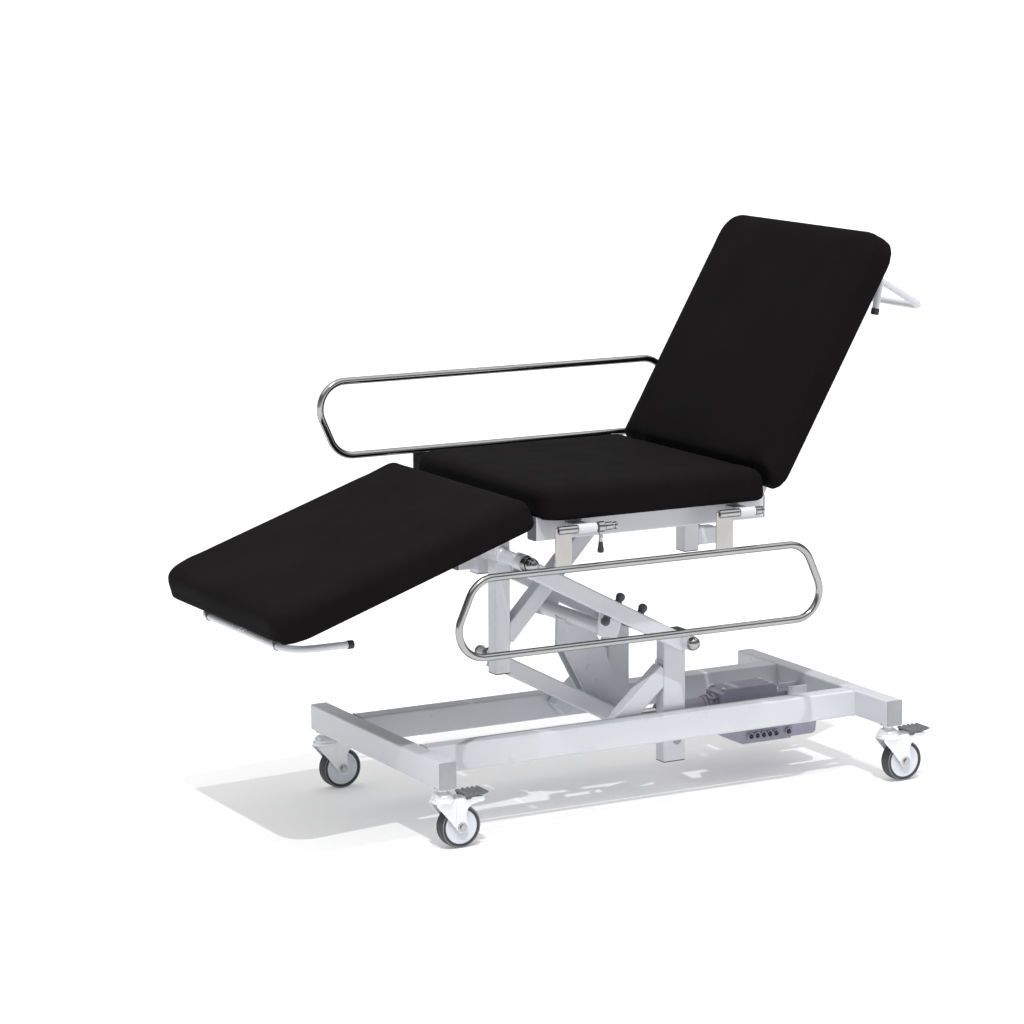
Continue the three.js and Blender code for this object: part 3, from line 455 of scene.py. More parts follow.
def weld_bead(bm, points, radius=2.2, closed=False):
    """A weld seam along a polyline: a thin bead whose thickness ripples."""
    path = []
    count = len(points)
    for i in range(count if closed else count - 1):
        a, b = points[i], points[(i + 1) % count]
        steps = max(2, int((b - a).length / 0.0035))
        path += [a.lerp(b, k / steps) for k in range(steps)]
    if not closed:
        path.append(points[-1])
    rings = []
    total = len(path)
    for i, point in enumerate(path):
        after = path[(i + 1) % total] if closed or i < total - 1 else point + (point - path[i - 1])
        along = (after - point).normalized()
        one = along.orthogonal().normalized()
        two = along.cross(one)
        size = radius * MM * (0.82 + 0.18 * math.cos(i * math.pi * 0.66))
        if not closed and i in (0, total - 1):
            size *= 0.4
        rings.append([point + (one * math.cos(t) + two * math.sin(t)) * size
                      for t in (2 * math.pi * k / 8 for k in range(8))])
    add_rings(bm, rings, closed)


def weld_end(bm, x, y, z, width, depth, corner, bead):
    """Seam round the end of a rectangular tube that lies along X."""
    outline = rounded_rectangle(width, depth, corner)
    weld_bead(bm, [at(x, y + u, z + v) for u, v in outline], bead, closed=True)


def weld_side(bm, x, y, z, width, depth, corner, bead):
    """Seam round the end of a rectangular tube that lies along Y."""
    outline = rounded_rectangle(width, depth, corner)
    weld_bead(bm, [at(x + u, y, z + v) for u, v in outline], bead, closed=True)


def weld_ring(bm, x, y, z, radius):
    """Seam round a shaft that lies along Y."""
    turns = (2 * math.pi * k / 24 for k in range(24))
    ring = [at(x + radius * math.cos(t), y, z + radius * math.sin(t)) for t in turns]
    weld_bead(bm, ring, 2.0, closed=True)


def hex_bolt(bm, origin, axis, across_flats, height):
    """A bolt head on its washer."""
    lathe(bm, origin, axis, [(0, 0), (across_flats * 0.95, 0), (across_flats * 0.95, 1.2), (0, 1.2)], 24)
    r = across_flats / 2 / math.cos(math.pi / 6)
    lathe(bm, origin, axis, [(0, 0.8), (r, 0.8), (r, 0.8 + height * 0.8), (r * 0.86, 0.8 + height),
                             (0, 0.8 + height)], 6)


SHARP_EDGE = math.radians(32)


def piece(name, bm, material, body, replaces=(), turn=None):
    """Makes the object, moves it with a CAD body and hides the CAD parts it stands in for."""
    bmesh.ops.recalc_face_normals(bm, faces=bm.faces[:])
    mesh = bpy.data.meshes.new(name)
    bm.to_mesh(mesh)
    bm.free()
    if turn is not None:
        mesh.transform(turn)
    mesh.polygons.foreach_set("use_smooth", [True] * len(mesh.polygons))
    mesh.set_sharp_from_angle(angle=SHARP_EDGE)
    mesh.materials.append(material)
    obj = bpy.data.objects.new(name, mesh)
    bpy.context.scene.collection.objects.link(obj)
    even = obj.modifiers.new("even_shading", "WEIGHTED_NORMAL")
    even.keep_sharp = True
    even.weight = 80
    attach(obj, body)
    if replaces:
        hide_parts(*replaces)


def tube_plug(bm, end, inward, width, depth, lip):
    """A push-in plug whose thin flange covers a tube's end."""
    inward = Vector(inward).normalized()
    solid_bar(bm, end - inward * lip * MM, end + inward * 0.4 * MM, width - 0.8, depth - 0.8, 3.6, 1.2)
    solid_bar(bm, end, end + inward * 10 * MM, width - 6, depth - 6, 1.5, 0.4)


# ---- base ----
MID = 175.0
ENDS = (("foot", 22.0), ("head", 1239.0))
CROSS_HALF = 331
RAIL_Y = (196.5 + 150.6) / 2
POST_X, POST_Y = 729.5, 131.1
POST_LOW, POST_HIGH = 82, 398
ACTUATOR_Y, ACTUATOR_Z = 36.0, 156.0
REAR_PIN_X = 1176
CASTOR_Y = 306
SHAFT_DOME = [(16.2, 222), (15.6, 226.5), (13.2, 231), (9.4, 234), (4.8, 235.6), (0, 236)]


def build_base():
    for end, x in ENDS:
        bm = bmesh.new()
        square_tube(bm, at(x, -CROSS_HALF, MID), at(x, CROSS_HALF, MID), 44, 64, 5)
        for _, side in SIDES:
            lathe(bm, at(x, side * CASTOR_Y, 143.2), (0, 0, -1),
                  [(9, -4), (21, 0), (21, 1.4), (20, 2), (9, 2), (9, -4)], 28)
        if end == "head":
            for side in (-1, 1):
                y = ACTUATOR_Y + side * 21
                plate_y(bm, [(1160, 144), (1218, 144), (1218, 180), (1160, 180)], y - 3, y + 3, 1.2)
            round_bar_y(bm, REAR_PIN_X, ACTUATOR_Z, ACTUATOR_Y - 27, ACTUATOR_Y + 27, 6.5)
        piece(f"base_cross_{end}", bm, PAINT, "base", [f"base_{end}_tube"])
        for name, side in SIDES:
            bm = bmesh.new()
            tube_plug(bm, at(x, side * (CROSS_HALF + 0.3), MID), (0, -side, 0), 44, 64, 3.0)
            piece(f"base_cap_{end}_{name}", bm, CAP, "base", [f"end_cap_{end}_{name}"])
    for name, side in SIDES:
        build_base_side(name, side)


def build_base_side(name, side):
    bm = bmesh.new()
    y = side * RAIL_Y
    post_y = side * POST_Y
    square_tube(bm, at(44.3, y, MID), at(1216.7, y, MID), 45.9, 64, 5)
    square_tube(bm, at(POST_X, post_y, POST_LOW), at(POST_X, post_y, POST_HIGH), 38, 61, 4.5)
    solid_bar(bm, at(562.6, post_y, 171.8), at(706, post_y, 300.9), 36, 46, 4)
    for x in (45.5, 1215.5):
        weld_end(bm, x, y, MID, 46.6, 64.8, 5, 1.7)
    for z in (327, 262):
        weld_bead(bm, [at(698.4, post_y - 17, z), at(698.4, post_y + 17, z)], 2.4)
    for dy in (-18.6, 18.6):
        weld_bead(bm, [at(698.6, post_y + dy, 263), at(698.6, post_y + dy, 326)], 1.8)
    for z in (207.4, 142.6):
        weld_bead(bm, [at(700, side * 150.4, z), at(759, side * 150.4, z)], 2.2)
    weld_bead(bm, [at(571, side * 150.0, 207.3), at(640, side * 150.0, 207.3)], 2.0)
    piece(f"base_side_frame_{name}", bm, PAINT, "base", [f"base_side_{name}"])
    bm = bmesh.new()
    tube_plug(bm, at(POST_X, post_y, POST_LOW), (0, 0, 1), 38.6, 61.6, 2.6)
    tube_plug(bm, at(POST_X, post_y, POST_HIGH), (0, 0, -1), 38.6, 61.6, 2.2)
    piece(f"post_plugs_{name}", bm, DARK_PLUG, "base")
    if side < 0:
        bm = bmesh.new()
        lathe(bm, at(LIFT_BASE[0], -151.2, LOWER_Z), (0, -1, 0),
              [(0, 0), (11, 0), (11.4, 0.5), (11, 1.2), (0, 1.4)], 32)
        piece("axle_cover", bm, CAP, "base")


def build_base_shaft():
    bm = bmesh.new()
    right = [(14, 150), (14, 219), (16.2, 219)] + SHAFT_DOME
    lathe(bm, at(LIFT_BASE[0], 0, LIFT_BASE[1]), (0, 1, 0), mirrored(right) + right, 40)
    piece("pivot_shaft_base", bm, CHROME, "base", ["lift_shaft_base"])


# ---- castors ----
WHEEL_R = 49.5
TRAIL = 40


def build_castors():
    for end, x in ENDS:
        for name, side in SIDES:
            label = f"{end}_{name}"
            y = side * CASTOR_Y
            build_fork(label, x, y)
            build_wheel(label, x + TRAIL, y)
            if label != "foot_far":
                build_pedal(label, x + TRAIL, y)


def build_fork(label, x, y):
    bm = bmesh.new()
    crown = 107
    axle = x + TRAIL
    lathe(bm, at(x, y, crown), (0, 0, 1), [
        (0, 0.5), (23, 0.5), (26, 1.6), (28.4, 4), (29, 7), (28.4, 10), (26.4, 12), (24.6, 12.8), (24.8, 14),
        (24.6, 16.4), (22.8, 20), (19, 23.5), (14, 26), (12.4, 28), (12, 34), (6.5, 34.4), (6.5, 45),
        (0, 45)], 40)
    for s in (-1, 1):
        lo, hi = sorted((y + s * 17.2, y + s * 20.6))
        neck = [(x - 23, crown + 5), (x - 24, crown - 2), (x - 20, crown - 7), (x - 6, crown - 22)]
        arm = [(-13, 44), (-8, 38), (-1, 35.6), (7, 37), (13, 43), (14.5, 52), (12, 66), (11, 80), (15, 92),
               (24, 99), (40, 103), (55, 104), (57.5, 107), (56, 116)]
        plate_y(bm, neck + [(axle + u, z) for u, z in arm] + [(x + 26, 118)], lo, hi, 0.9)
        plate_y(bm, [(axle - 15.5, 45), (axle - 12.5, 45), (axle - 12.5, 112), (axle - 15.5, 112)],
                *sorted((y + s * 20.2, y + s * 22.0)), 0.8)
    lip = [(40, 104), (56, 105), (56.6, 107), (55, 115.5), (40, 115)]
    plate_y(bm, [(axle + u, z) for u, z in lip], y - 19, y + 19, 0.8)
    block(bm, (x - 22, y - 19, crown), (x + 26, y + 19, crown + 5), 1.5)
    round_bar_y(bm, axle, WHEEL_R, y - 22, y + 22, 5.6)
    piece(f"fork_{label}", bm, ZINC, f"castor_{label}", [f"castor_fork_{label}"])
    bm = bmesh.new()
    for s in (-1, 1):
        hex_bolt(bm, at(axle, y + s * 20.7, WHEEL_R), (0, s, 0), 12.5, 4.4)
    piece(f"axle_bolts_{label}", bm, BOLT, f"castor_{label}")


def build_wheel(label, axle, y):
    bm = bmesh.new()
    half = [(6.2, 16), (10.2, 16), (11.2, 15.2), (11.8, 13.8), (14, 13.4), (30, 13.2), (33, 13.4),
            (36.6, 14.4), (38.2, 14.7), (39.4, 14.3)]
    lathe(bm, at(axle, y, WHEEL_R), (0, 1, 0), half + mirrored(half) + half[:1], 56)
    piece(f"wheel_{label}", bm, WHEEL, f"wheel_{label}", [f"castor_wheel_{label}"])
    bm = bmesh.new()
    half = [(39.7, 14.0), (40.6, 15.0), (43.2, 15.3), (44.0, 14.6), (44.6, 14.6), (45.2, 15.3), (47.4, 15.2),
            (48.7, 14.2), (49.4, 12.0), (49.5, 8.6), (48.9, 8.0), (48.9, 7.2), (49.5, 6.6)]
    lathe(bm, at(axle, y, WHEEL_R), (0, 1, 0), half + mirrored(half) + half[:1], 72)
    piece(f"tyre_{label}", bm, TYRE, f"wheel_{label}", [f"castor_tyre_{label}"])
    bm = bmesh.new()
    for s in (-1, 1):
        lathe(bm, at(axle, y + s * 14.4, WHEEL_R), (0, s, 0),
              [(46.2, 0), (47.4, 0), (47.4, 1.1), (46.8, 1.4), (46.2, 1.1), (46.2, 0)], 72)
    piece(f"tyre_line_{label}", bm, CAP, f"wheel_{label}")


def build_pedal(label, axle, y):
    bm = bmesh.new()
    px = axle + 14
    for s in (-1, 1):
        lo, hi = sorted((y + s * 21.8, y + s * 24.2))
        plate_y(bm, [(px - 5, 113), (px + 6, 113), (px + 14, 123), (px - 8, 123)], lo, hi, 0.8)
    under = [(px - 9, 121.6), (px - 5, 120.4), (px + 34, 120.2), (px + 49, 123.4), (px + 51.6, 125.6)]
    wave = [(px + 50 - k * 2.4, 127.2 + 2.3 * math.sin(k * math.pi / 2.6)) for k in range(22)]
    plate_y(bm, under + wave + [(px - 8, 127)], y - 26, y + 26, 1.3, 3)
    piece(f"pedal_{label}", bm, PEDAL, f"pedal_{label}", [f"brake_pedal_{label}"])


# ---- lift ----
RISE = LIFT_SEAT[1] - LIFT_BASE[1]
SLOPE = math.atan2(RISE, LIFT_BASE[0] - LIFT_SEAT[0])
LINK_LENGTH = math.hypot(RISE, LIFT_BASE[0] - LIFT_SEAT[0])
LINK_Y = 173.5
LINK_DROP = -6.5
LINK_SIZE = 40
# Rubber buffers on the near link: distance up the link, and 1 above it or -1 below it.
BUFFERS = ((139, 1), (208, 1), (219, -1))


def link_at(t, offset, y, base_z=LIFT_BASE[1]):
    """The point `t` up a link from its base pivot and `offset` above the line of its pivots."""
    return at(LIFT_BASE[0] - t * math.cos(SLOPE) + offset * math.sin(SLOPE), y,
              base_z + t * math.sin(SLOPE) + offset * math.cos(SLOPE))


def build_links():
    for name, side in SIDES:
        y = side * LINK_Y
        low, high = link_at(0, LINK_DROP, y), link_at(LINK_LENGTH, LINK_DROP, y)
        uphill = link_at(10, LINK_DROP, y) - low
        bm = bmesh.new()
        square_tube(bm, low, high, LINK_SIZE, LINK_SIZE, 4.5)
        for x, z in (LIFT_BASE, LIFT_SEAT):
            lathe(bm, at(x, y - 20.4, z), (0, 1, 0), sleeve(14.3, 20, 40.8), 36)
        lathe(bm, at(LIFT_BASE[0], side * 194, LIFT_BASE[1]), (0, side, 0),
              [(14.3, 0), (17.4, 0), (18, 0.6), (18, 23), (17.4, 23.8), (14.3, 23.8), (14.3, 0)], 36)
        for t in (20, LINK_LENGTH - 20):
            offset = LINK_DROP + 20.4
            weld_bead(bm, [link_at(t, offset, y - 18), link_at(t, offset, y + 18)], 1.8)
        piece(f"link_{name}", bm, PAINT, "lift", [f"upper_link_{name}"])
        bm = bmesh.new()
        tube_plug(bm, low, uphill, LINK_SIZE, LINK_SIZE, 2.4)
        tube_plug(bm, high, -uphill, LINK_SIZE, LINK_SIZE, 2.4)
        piece(f"link_plugs_{name}", bm, CAP, "lift")


def build_lever():
    bm = bmesh.new()
    x0, z0 = 540.0, 422.5
    round_bar_y(bm, x0, z0, -145, 145, 18, 0.6, 36)
    for _, side in SIDES:
        lo, hi = sorted((side * 144.2, side * 153))
        plate_y(bm, [(x0 - 26, z0 - 12), (x0 + 22, z0 - 25), (x0 + 30, z0 - 20), (x0 + 44, z0 + 20),
                     (x0 + 36, z0 + 30), (x0 - 6, z0 + 60), (x0 - 14, z0 + 56)], lo, hi, 1.2)
        weld_ring(bm, x0, side * 144, z0, 18.6)
    outline = [(520, 418.5), (518, 342), (576, 234), (646, 150), (656, 138), (668, 136), (682, 141),
               (688, 152), (686, 205), (628, 342), (592, 400), (550, 424.5)]
    for lo, hi in ((13, 20), (52, 59)):
        plate_y(bm, outline, lo, hi, 1.4)
    for web in ([(521, 417), (519.5, 343), (606, 336), (629, 342), (590, 399), (550, 423)],
                [(610, 336), (627, 341), (685, 204), (686.5, 186), (680, 185), (664, 198)]):
        plate_y(bm, web, 19, 53, 1.0)
    for y in (13.2, 58.8):
        weld_bead(bm, [at(x0 + 18.8 * math.cos(t), y, z0 + 18.8 * math.sin(t))
                       for t in (math.pi * (1.02 + 0.9 * k / 12) for k in range(13))], 2.2)
    for z in (300, 262):
        x = 553 + (300 - z) * 0.6
        lathe(bm, at(x + 34, 12.6, z - 6), (0, -1, 0),
              [(0, -1), (6.5, -1), (6.5, 0.8), (5.6, 1.6), (0, 1.8)], 24)
    piece("lever", bm, PAINT, "lift", ["lift_lever"])
    for i, (t, direction) in enumerate(BUFFERS, 1):
        build_buffer(i, t, direction)


def build_buffer(i, t, direction):
    bm = bmesh.new()
    base = link_at(t, direction * 20.3 + LINK_DROP, -LINK_Y)
    axis = link_at(t, direction * 40.3 + LINK_DROP, -LINK_Y) - base
    lathe(bm, base, axis, [
        (0, 0), (8.6, 0), (9.2, 0.8), (8.6, 2.4), (8.2, 4.0), (9.4, 7.0), (10.8, 10.5), (11.2, 13.5),
        (10.6, 17), (8.8, 20.2), (5.6, 22.4), (2.4, 23.3), (0, 23.5)], 32)
    piece(f"stop_{i}", bm, BUFFER, "lift", [f"buffer_{i}"])


def build_lower_link():
    bm = bmesh.new()
    y = -13.0
    low, high = (link_at(t, LINK_DROP, y, LOWER_Z) for t in (16, LINK_LENGTH - 16))
    square_tube(bm, low, high, LINK_SIZE, LINK_SIZE, 4.5)
    round_bar_y(bm, LIFT_BASE[0], LOWER_Z, -149.6, 9, 14)
    lathe(bm, at(LIFT_BASE[0], -39, LOWER_Z), (0, 1, 0), sleeve(13.8, 20, 48), 36)
    seat_x, seat_z = LIFT_SEAT[0], LOWER_Z + LIFT_SEAT[1] - LIFT_BASE[1]
    lathe(bm, at(seat_x, -24, seat_z), (0, 1, 0), sleeve(0, 12, 55), 36)
    piece("lower_arm", bm, PAINT, "lower_link", ["lower_link"])
    bm = bmesh.new()
    lathe(bm, at(seat_x, 30.6, seat_z), (0, 1, 0),
          [(0, 0), (15, 0), (15.6, 1), (14.6, 4), (11.6, 8), (6.6, 10.4), (0, 11)], 32)
    lathe(bm, at(seat_x, -4, seat_z), (0, -1, 0),
          [(0, 0), (15.4, 0), (16, 0.8), (16, 20), (15, 23.6), (12, 27), (7, 28.4), (0, 28.8)], 36)
    piece("lower_arm_bolt", bm, CHROME, "lower_link")
    bm = bmesh.new()
    for t, end in ((26, low), (LINK_LENGTH - 26, high)):
        tube_plug(bm, end, link_at(t, LINK_DROP, y, LOWER_Z) - end, LINK_SIZE, LINK_SIZE, 2.0)
    piece("lower_arm_plugs", bm, CAP, "lower_link")


# ---- actuator ----
SOCKETS = [966 + place * 18 for place in (0, 1, 2, 3, 4, 6)]
SOCKET_Z = 106


def build_actuator():
    y, z = ACTUATOR_Y, ACTUATOR_Z
    bm = bmesh.new()
    round_bar(bm, at(674, y, z), at(900, y, z), 11, 1.0, 36)
    lathe(bm, at(668, y - 12, z), (0, 1, 0), sleeve(7, 13, 24), 32)
    piece("push_rod", bm, CHROME, "push_rod", ["actuator_rod"])
    bm = bmesh.new()
    tube = [(11.4, 0), (18, 0), (20.4, 2), (21, 5), (21, 130), (23.6, 131), (24, 133), (24, 138), (21.6, 139),
            (21.6, 141), (26, 142), (26, 149), (22, 150), (22, 156), (26, 157), (26, 166), (22, 168),
            (22, 236), (11.4, 236), (11.4, 0)]
    lathe(bm, at(790, y, z), (1, 0, 0), tube, 40)
    for k in range(4):
        t = math.pi / 4 + k * math.pi / 2
        v, w = y + 27 * math.cos(t), z + 27 * math.sin(t)
        round_bar(bm, at(934, v, w), at(958, v, w), 3.2, 0.6, 16)
    plate_y(bm, [(955, z - 30), (960, z - 34), (1112, z - 34), (1120, z - 26), (1120, z + 34), (1108, z + 42),
                 (975, z + 42), (955, z + 30)], y - 36, y + 36, 4.5, 4)
    block(bm, (985, y - 30, z + 40), (1086, y + 30, z + 41.9), 1.5)
    for k in range(5):
        x = 992 + k * 20
        block(bm, (x, y - 36.2, z - 22), (x + 7, y + 35.9, z + 22), 1.2)
    block(bm, (1110, y - 14, z - 14), (1190, y + 14, z + 14), 4)
    piece("actuator_case", bm, LILAC, "actuator", ["actuator_body"])
    bm = bmesh.new()
    for sx in (968, 1106):
        for sy in (-26, 26):
            hex_bolt(bm, at(sx, y + sy, z + 41.2), (0, 0, 1), 6, 2.4)
    for start in (y - 18, y + 14.4):
        lathe(bm, at(REAR_PIN_X, start, z), (0, 1, 0),
              [(7.2, 0), (12, 0), (12, 3.6), (7.2, 3.6), (7.2, 0)], 28)
    piece("actuator_screws", bm, ZINC, "actuator")
    build_control_box(y)


def build_control_box(y):
    front = y - 150
    bm = bmesh.new()
    plate_y(bm, [(886, 123), (940, 89), (947, 86.4), (1084, 86.4), (1091, 92), (1091.6, 146), (1088, 148),
                 (904, 148), (900, 144)], front, y - 36.4, 3.0, 4)
    plate_y(bm, [(1086, 80), (1172, 80.4), (1181, 86), (1186, 140), (1180, 148), (1086, 148)],
            y - 118, y - 36.6, 4.0, 4)
    lathe(bm, at(1138, y - 117.6, 122), (0, -1, 0), [(0, -1), (9, -1), (9, 1.6), (8, 2.4), (0, 2.6)], 28)
    for x in SOCKETS:
        lathe(bm, at(x, front + 0.4, SOCKET_Z), (0, -1, 0), [
            (6.4, -2), (9.2, -2), (9.2, 8.4), (8.6, 9.4), (7.2, 9.4), (6.4, 8.6), (6.4, -2)], 32)
    for x in (915, 1000, 1060):
        block(bm, (x, front + 10, 147), (x + 16, front + 60, 151), 1.4)
    plate_y(bm, [(955, 94), (958, 91), (1082, 91), (1085, 94), (1085, 118), (1082, 121), (958, 121),
                 (955, 118)], front - 1.6, front + 4, 1.0)
    piece("control_case", bm, LILAC, "actuator", ["control_box"])
    bm = bmesh.new()
    for x in SOCKETS:
        lathe(bm, at(x, front - 1, SOCKET_Z), (0, -1, 0), [(0, 0), (6.5, 0), (6.5, 1.4), (0, 1.4)], 24)
        lathe(bm, at(x, front - 2, SOCKET_Z), (0, -1, 0),
              [(0, 0), (2.4, 0), (2.4, 4.4), (1.8, 5), (0, 5)], 14)
    piece("control_sockets", bm, LILAC_DEEP, "actuator")


# ---- seat ----
SEAT_TOP = 733.9
SLEEVES = ((347.0, 395.0), (779.0, 820.0))
GUARD_Y = 350.0
GUARD_Z = 710.5
HANGERS = ((308, -1), (877, 1))
HANGER_Y, HANGER_LOW = 36, 552
HANGER_ARM_Z, HANGER_REACH = 584, 70
COLUMN_X, COLUMN_LOW = 305, 328


def build_seat():
    mid = SEAT_TOP - 28
    for name, side in SIDES:
        y = side * 269
        inner = side * 250
        bm = bmesh.new()
        square_tube(bm, at(276, y, mid), at(887, y, mid), 38, 56, 4.5)
        round_bar_y(bm, *LEG_HINGE, *sorted((side * 280, side * 213)), 6)
        round_bar_y(bm, *BACK_HINGE, *sorted((side * 252, side * 213)), 5)
        plate_y(bm, [(860, 690), (892, 690), (901.4, 700), (901.6, 735.3), (900.2, 739.3), (896.2, 741),
                     (892, 739.3), (890.5, 733), (860, 732)],
                *sorted((inner + side * 3, inner - side * 4)), 0.9)
        for x0, x1 in SLEEVES:
            lathe(bm, at(x0, side * GUARD_Y, GUARD_Z), (1, 0, 0),
                  sleeve(7.3, 11, x1 - x0, 0.8), 36)
            block(bm, (x0 + 4, side * 343, GUARD_Z - 7), (x1 - 4, side * 286, GUARD_Z + 7), 1.6)
            low, high = GUARD_Z - 8, GUARD_Z + 8
            edge = ((x0 + 3, low), (x1 - 3, low), (x1 - 3, high), (x0 + 3, high))
            weld_bead(bm, [at(x, side * 288.4, z) for x, z in edge], 1.7, closed=True)
        piece(f"seat_side_{name}", bm, PAINT, "seat", [f"seat_rail_{name}"])
        bm = bmesh.new()
        tube_plug(bm, at(276, y, mid), (1, 0, 0), 38, 56, 3.2)
        tube_plug(bm, at(887, y, mid), (-1, 0, 0), 38, 56, 3.2)
        piece(f"seat_side_plugs_{name}", bm, DARK_PLUG, "seat")
    for end, x in (("foot", 346), ("head", 840)):
        bm = bmesh.new()
        square_tube(bm, at(x, -249.7, mid), at(x, 249.7, mid), 40, 56, 4.5)
        if end == "head":
            hanger(bm, *HANGERS[1], mid)
        for _, side in SIDES:
            weld_side(bm, x, side * 248.6, mid, 41, 57, 5, 1.6)
        piece(f"seat_member_{end}", bm, PAINT, "seat", [f"seat_cross_{end}"])
    build_column()
    build_seat_shaft()


def hanger(bm, x, to_end, top):
    """A tube down from the frame with a short arm that carries a gas strut."""
    y, arm = HANGER_Y, HANGER_ARM_Z
    square_tube(bm, at(x, y, HANGER_LOW), at(x, y, top), 42, 42, 4)
    square_tube(bm, at(x + to_end * 20, y, arm), at(x + to_end * HANGER_REACH, y, arm), 38, 42, 4)
    weld_end(bm, x + to_end * 21.4, y, arm, 39, 43, 4, 1.6)


def build_column():
    bm = bmesh.new()
    y = -56.0
    pivot_x, pivot_z = LIFT_SEAT
    square_tube(bm, at(COLUMN_X, y, COLUMN_LOW), at(COLUMN_X, y, SEAT_TOP), 40, 40, 4.5)
    solid_bar(bm, at(319, y, 412), at(560, y, 668.6), 37, 40, 4)
    square_tube(bm, at(366.3, y, SEAT_TOP - 24), at(819.7, y, SEAT_TOP - 24), 44, 48, 4.5)
    lathe(bm, at(pivot_x, -152.5, pivot_z), (0, 1, 0), [
        (14.4, 0), (15.8, 0), (16.2, 0.6), (16.2, 60), (20, 64), (20, 241), (16.2, 245), (16.2, 304.4),
        (15.8, 305), (14.4, 305), (14.4, 0)], 40)
    plate_y(bm, [(283, 343), (323, 343), (323, 379), (283, 379)], y + 16, y + 20.2, 0.8)
    hanger(bm, *HANGERS[0], SEAT_TOP - 56.3)
    for s in (-1, 1):
        weld_ring(bm, pivot_x, y + s * 20.4, pivot_z, 20.6)
        weld_bead(bm, [at(325.6, y + s * 18.6, 396), at(325.6, y + s * 18.6, 446)], 1.8)
    for z in (446, 394):
        weld_bead(bm, [at(325.8, y - 17, z), at(325.8, y + 17, z)], 2.0)
    piece("column_frame", bm, PAINT, "seat", ["column"])
    bm = bmesh.new()
    tube_plug(bm, at(COLUMN_X, y, COLUMN_LOW), (0, 0, 1), 40.6, 40.6, 2.6)
    for x, to_end in HANGERS:
        tip = at(x + to_end * HANGER_REACH, HANGER_Y, HANGER_ARM_Z)
        tube_plug(bm, at(x, HANGER_Y, HANGER_LOW), (0, 0, 1), 42.4, 42.4, 2.4)
        tube_plug(bm, tip, (-to_end, 0, 0), 38.4, 42.4, 2.4)
    piece("column_plugs", bm, DARK_PLUG, "seat")


def build_seat_shaft():
    bm = bmesh.new()
    right = [(14, 150), (14, 194.6), (17.6, 194.6), (18.2, 195.4), (18.2, 214), (17.6, 214.8), (14, 214.8),
             (14, 218), (16.2, 218)] + SHAFT_DOME
    lathe(bm, at(LIFT_SEAT[0], 0, LIFT_SEAT[1]), (0, 1, 0), mirrored(right) + right, 40)
    piece("pivot_shaft_seat", bm, CHROME, "seat", ["lift_shaft_seat"])


# ---- leg and back sections ----
FOOT_END = -409.0
HEAD_END = 1568.0
FRAME_TOP = 733.9
FRAME_MID = 722.9
FRAME_INSET = 41
LEG_MEMBER_X, BACK_MEMBER_X = -89, 1149
STRUT_Y, STRUT_EYE_Z = 72, 676
BAR_Y, BAR_TAB_Y = 252, 185


def build_sections():
    for name, side in SIDES:
        y = side * 230
        foot = at(FOOT_END + FRAME_INSET, y, FRAME_MID)
        head = at(HEAD_END - FRAME_INSET, y, FRAME_MID)
        bm = bmesh.new()
        square_tube(bm, foot, at(290, y, FRAME_MID), 30, 22, 4)
        plate_y(bm, [(268, 733.6), (289.5, 733.6), (297.2, 726), (297.2, 702.4), (268, 702.4)],
                y - 14.8, y + 14.8, 1.2)
        lathe(bm, at(LEG_HINGE[0], y - 15.6, LEG_HINGE[1]), (0, 1, 0), sleeve(6.3, 9.6, 31.2, 0.6), 28)
        piece(f"leg_side_{name}", bm, PAINT, "leg", [f"leg_tube_{name}"], LEG_TURN)
        bm = bmesh.new()
        tube_plug(bm, foot, (1, 0, 0), 30.4, 22.4, 2.6)
        piece(f"leg_side_plug_{name}", bm, CAP, "leg", (), LEG_TURN)
        bm = bmesh.new()
        square_tube(bm, at(888, y, FRAME_MID), head, 30, 22, 4)
        plate_y(bm, [(885.6, 716), (898.4, 716), (898.6, 740), (896, 744.6), (890, 744.6), (885.6, 740)],
                y - 14.6, y + 14.6, 1.0)
        piece(f"back_side_{name}", bm, PAINT, "back", [f"back_tube_{name}"], BACK_TURN)
        bm = bmesh.new()
        tube_plug(bm, head, (-1, 0, 0), 30.4, 22.4, 2.6)
        piece(f"back_side_plug_{name}", bm, CAP, "back", (), BACK_TURN)
    section_member("leg", LEG_MEMBER_X, LEG_TURN)
    section_member("back", BACK_MEMBER_X, BACK_TURN)
    hand_bar("leg", FOOT_END + 43, 144, LEG_TURN)
    hand_bar("back", HEAD_END - 53, -110, BACK_TURN)
    push_bar(HEAD_END - 78)


def section_member(section, x, turn):
    bm = bmesh.new()
    square_tube(bm, at(x, -214.7, FRAME_MID), at(x, 214.7, FRAME_MID), 30, 20, 4)
    for s in (-1, 1):
        y = STRUT_Y + s * 12
        plate_y(bm, [(x - 11, 714), (x - 11, 673), (x - 6, 667), (x + 6, 667), (x + 11, 673), (x + 11, 714)],
                y - 2, y + 2, 0.7)
        hex_bolt(bm, at(x, y + s * 2, STRUT_EYE_Z), (0, s, 0), 9, 3.4)
        weld_bead(bm, [at(x - 11, y + s * 2, 712.4), at(x + 11, y + s * 2, 712.4)], 1.5)
    for _, side in SIDES:
        weld_side(bm, x, side * 214.2, FRAME_MID, 31, 21, 4, 1.5)
    piece(f"{section}_member", bm, PAINT, section, [f"{section}_cross"], turn)


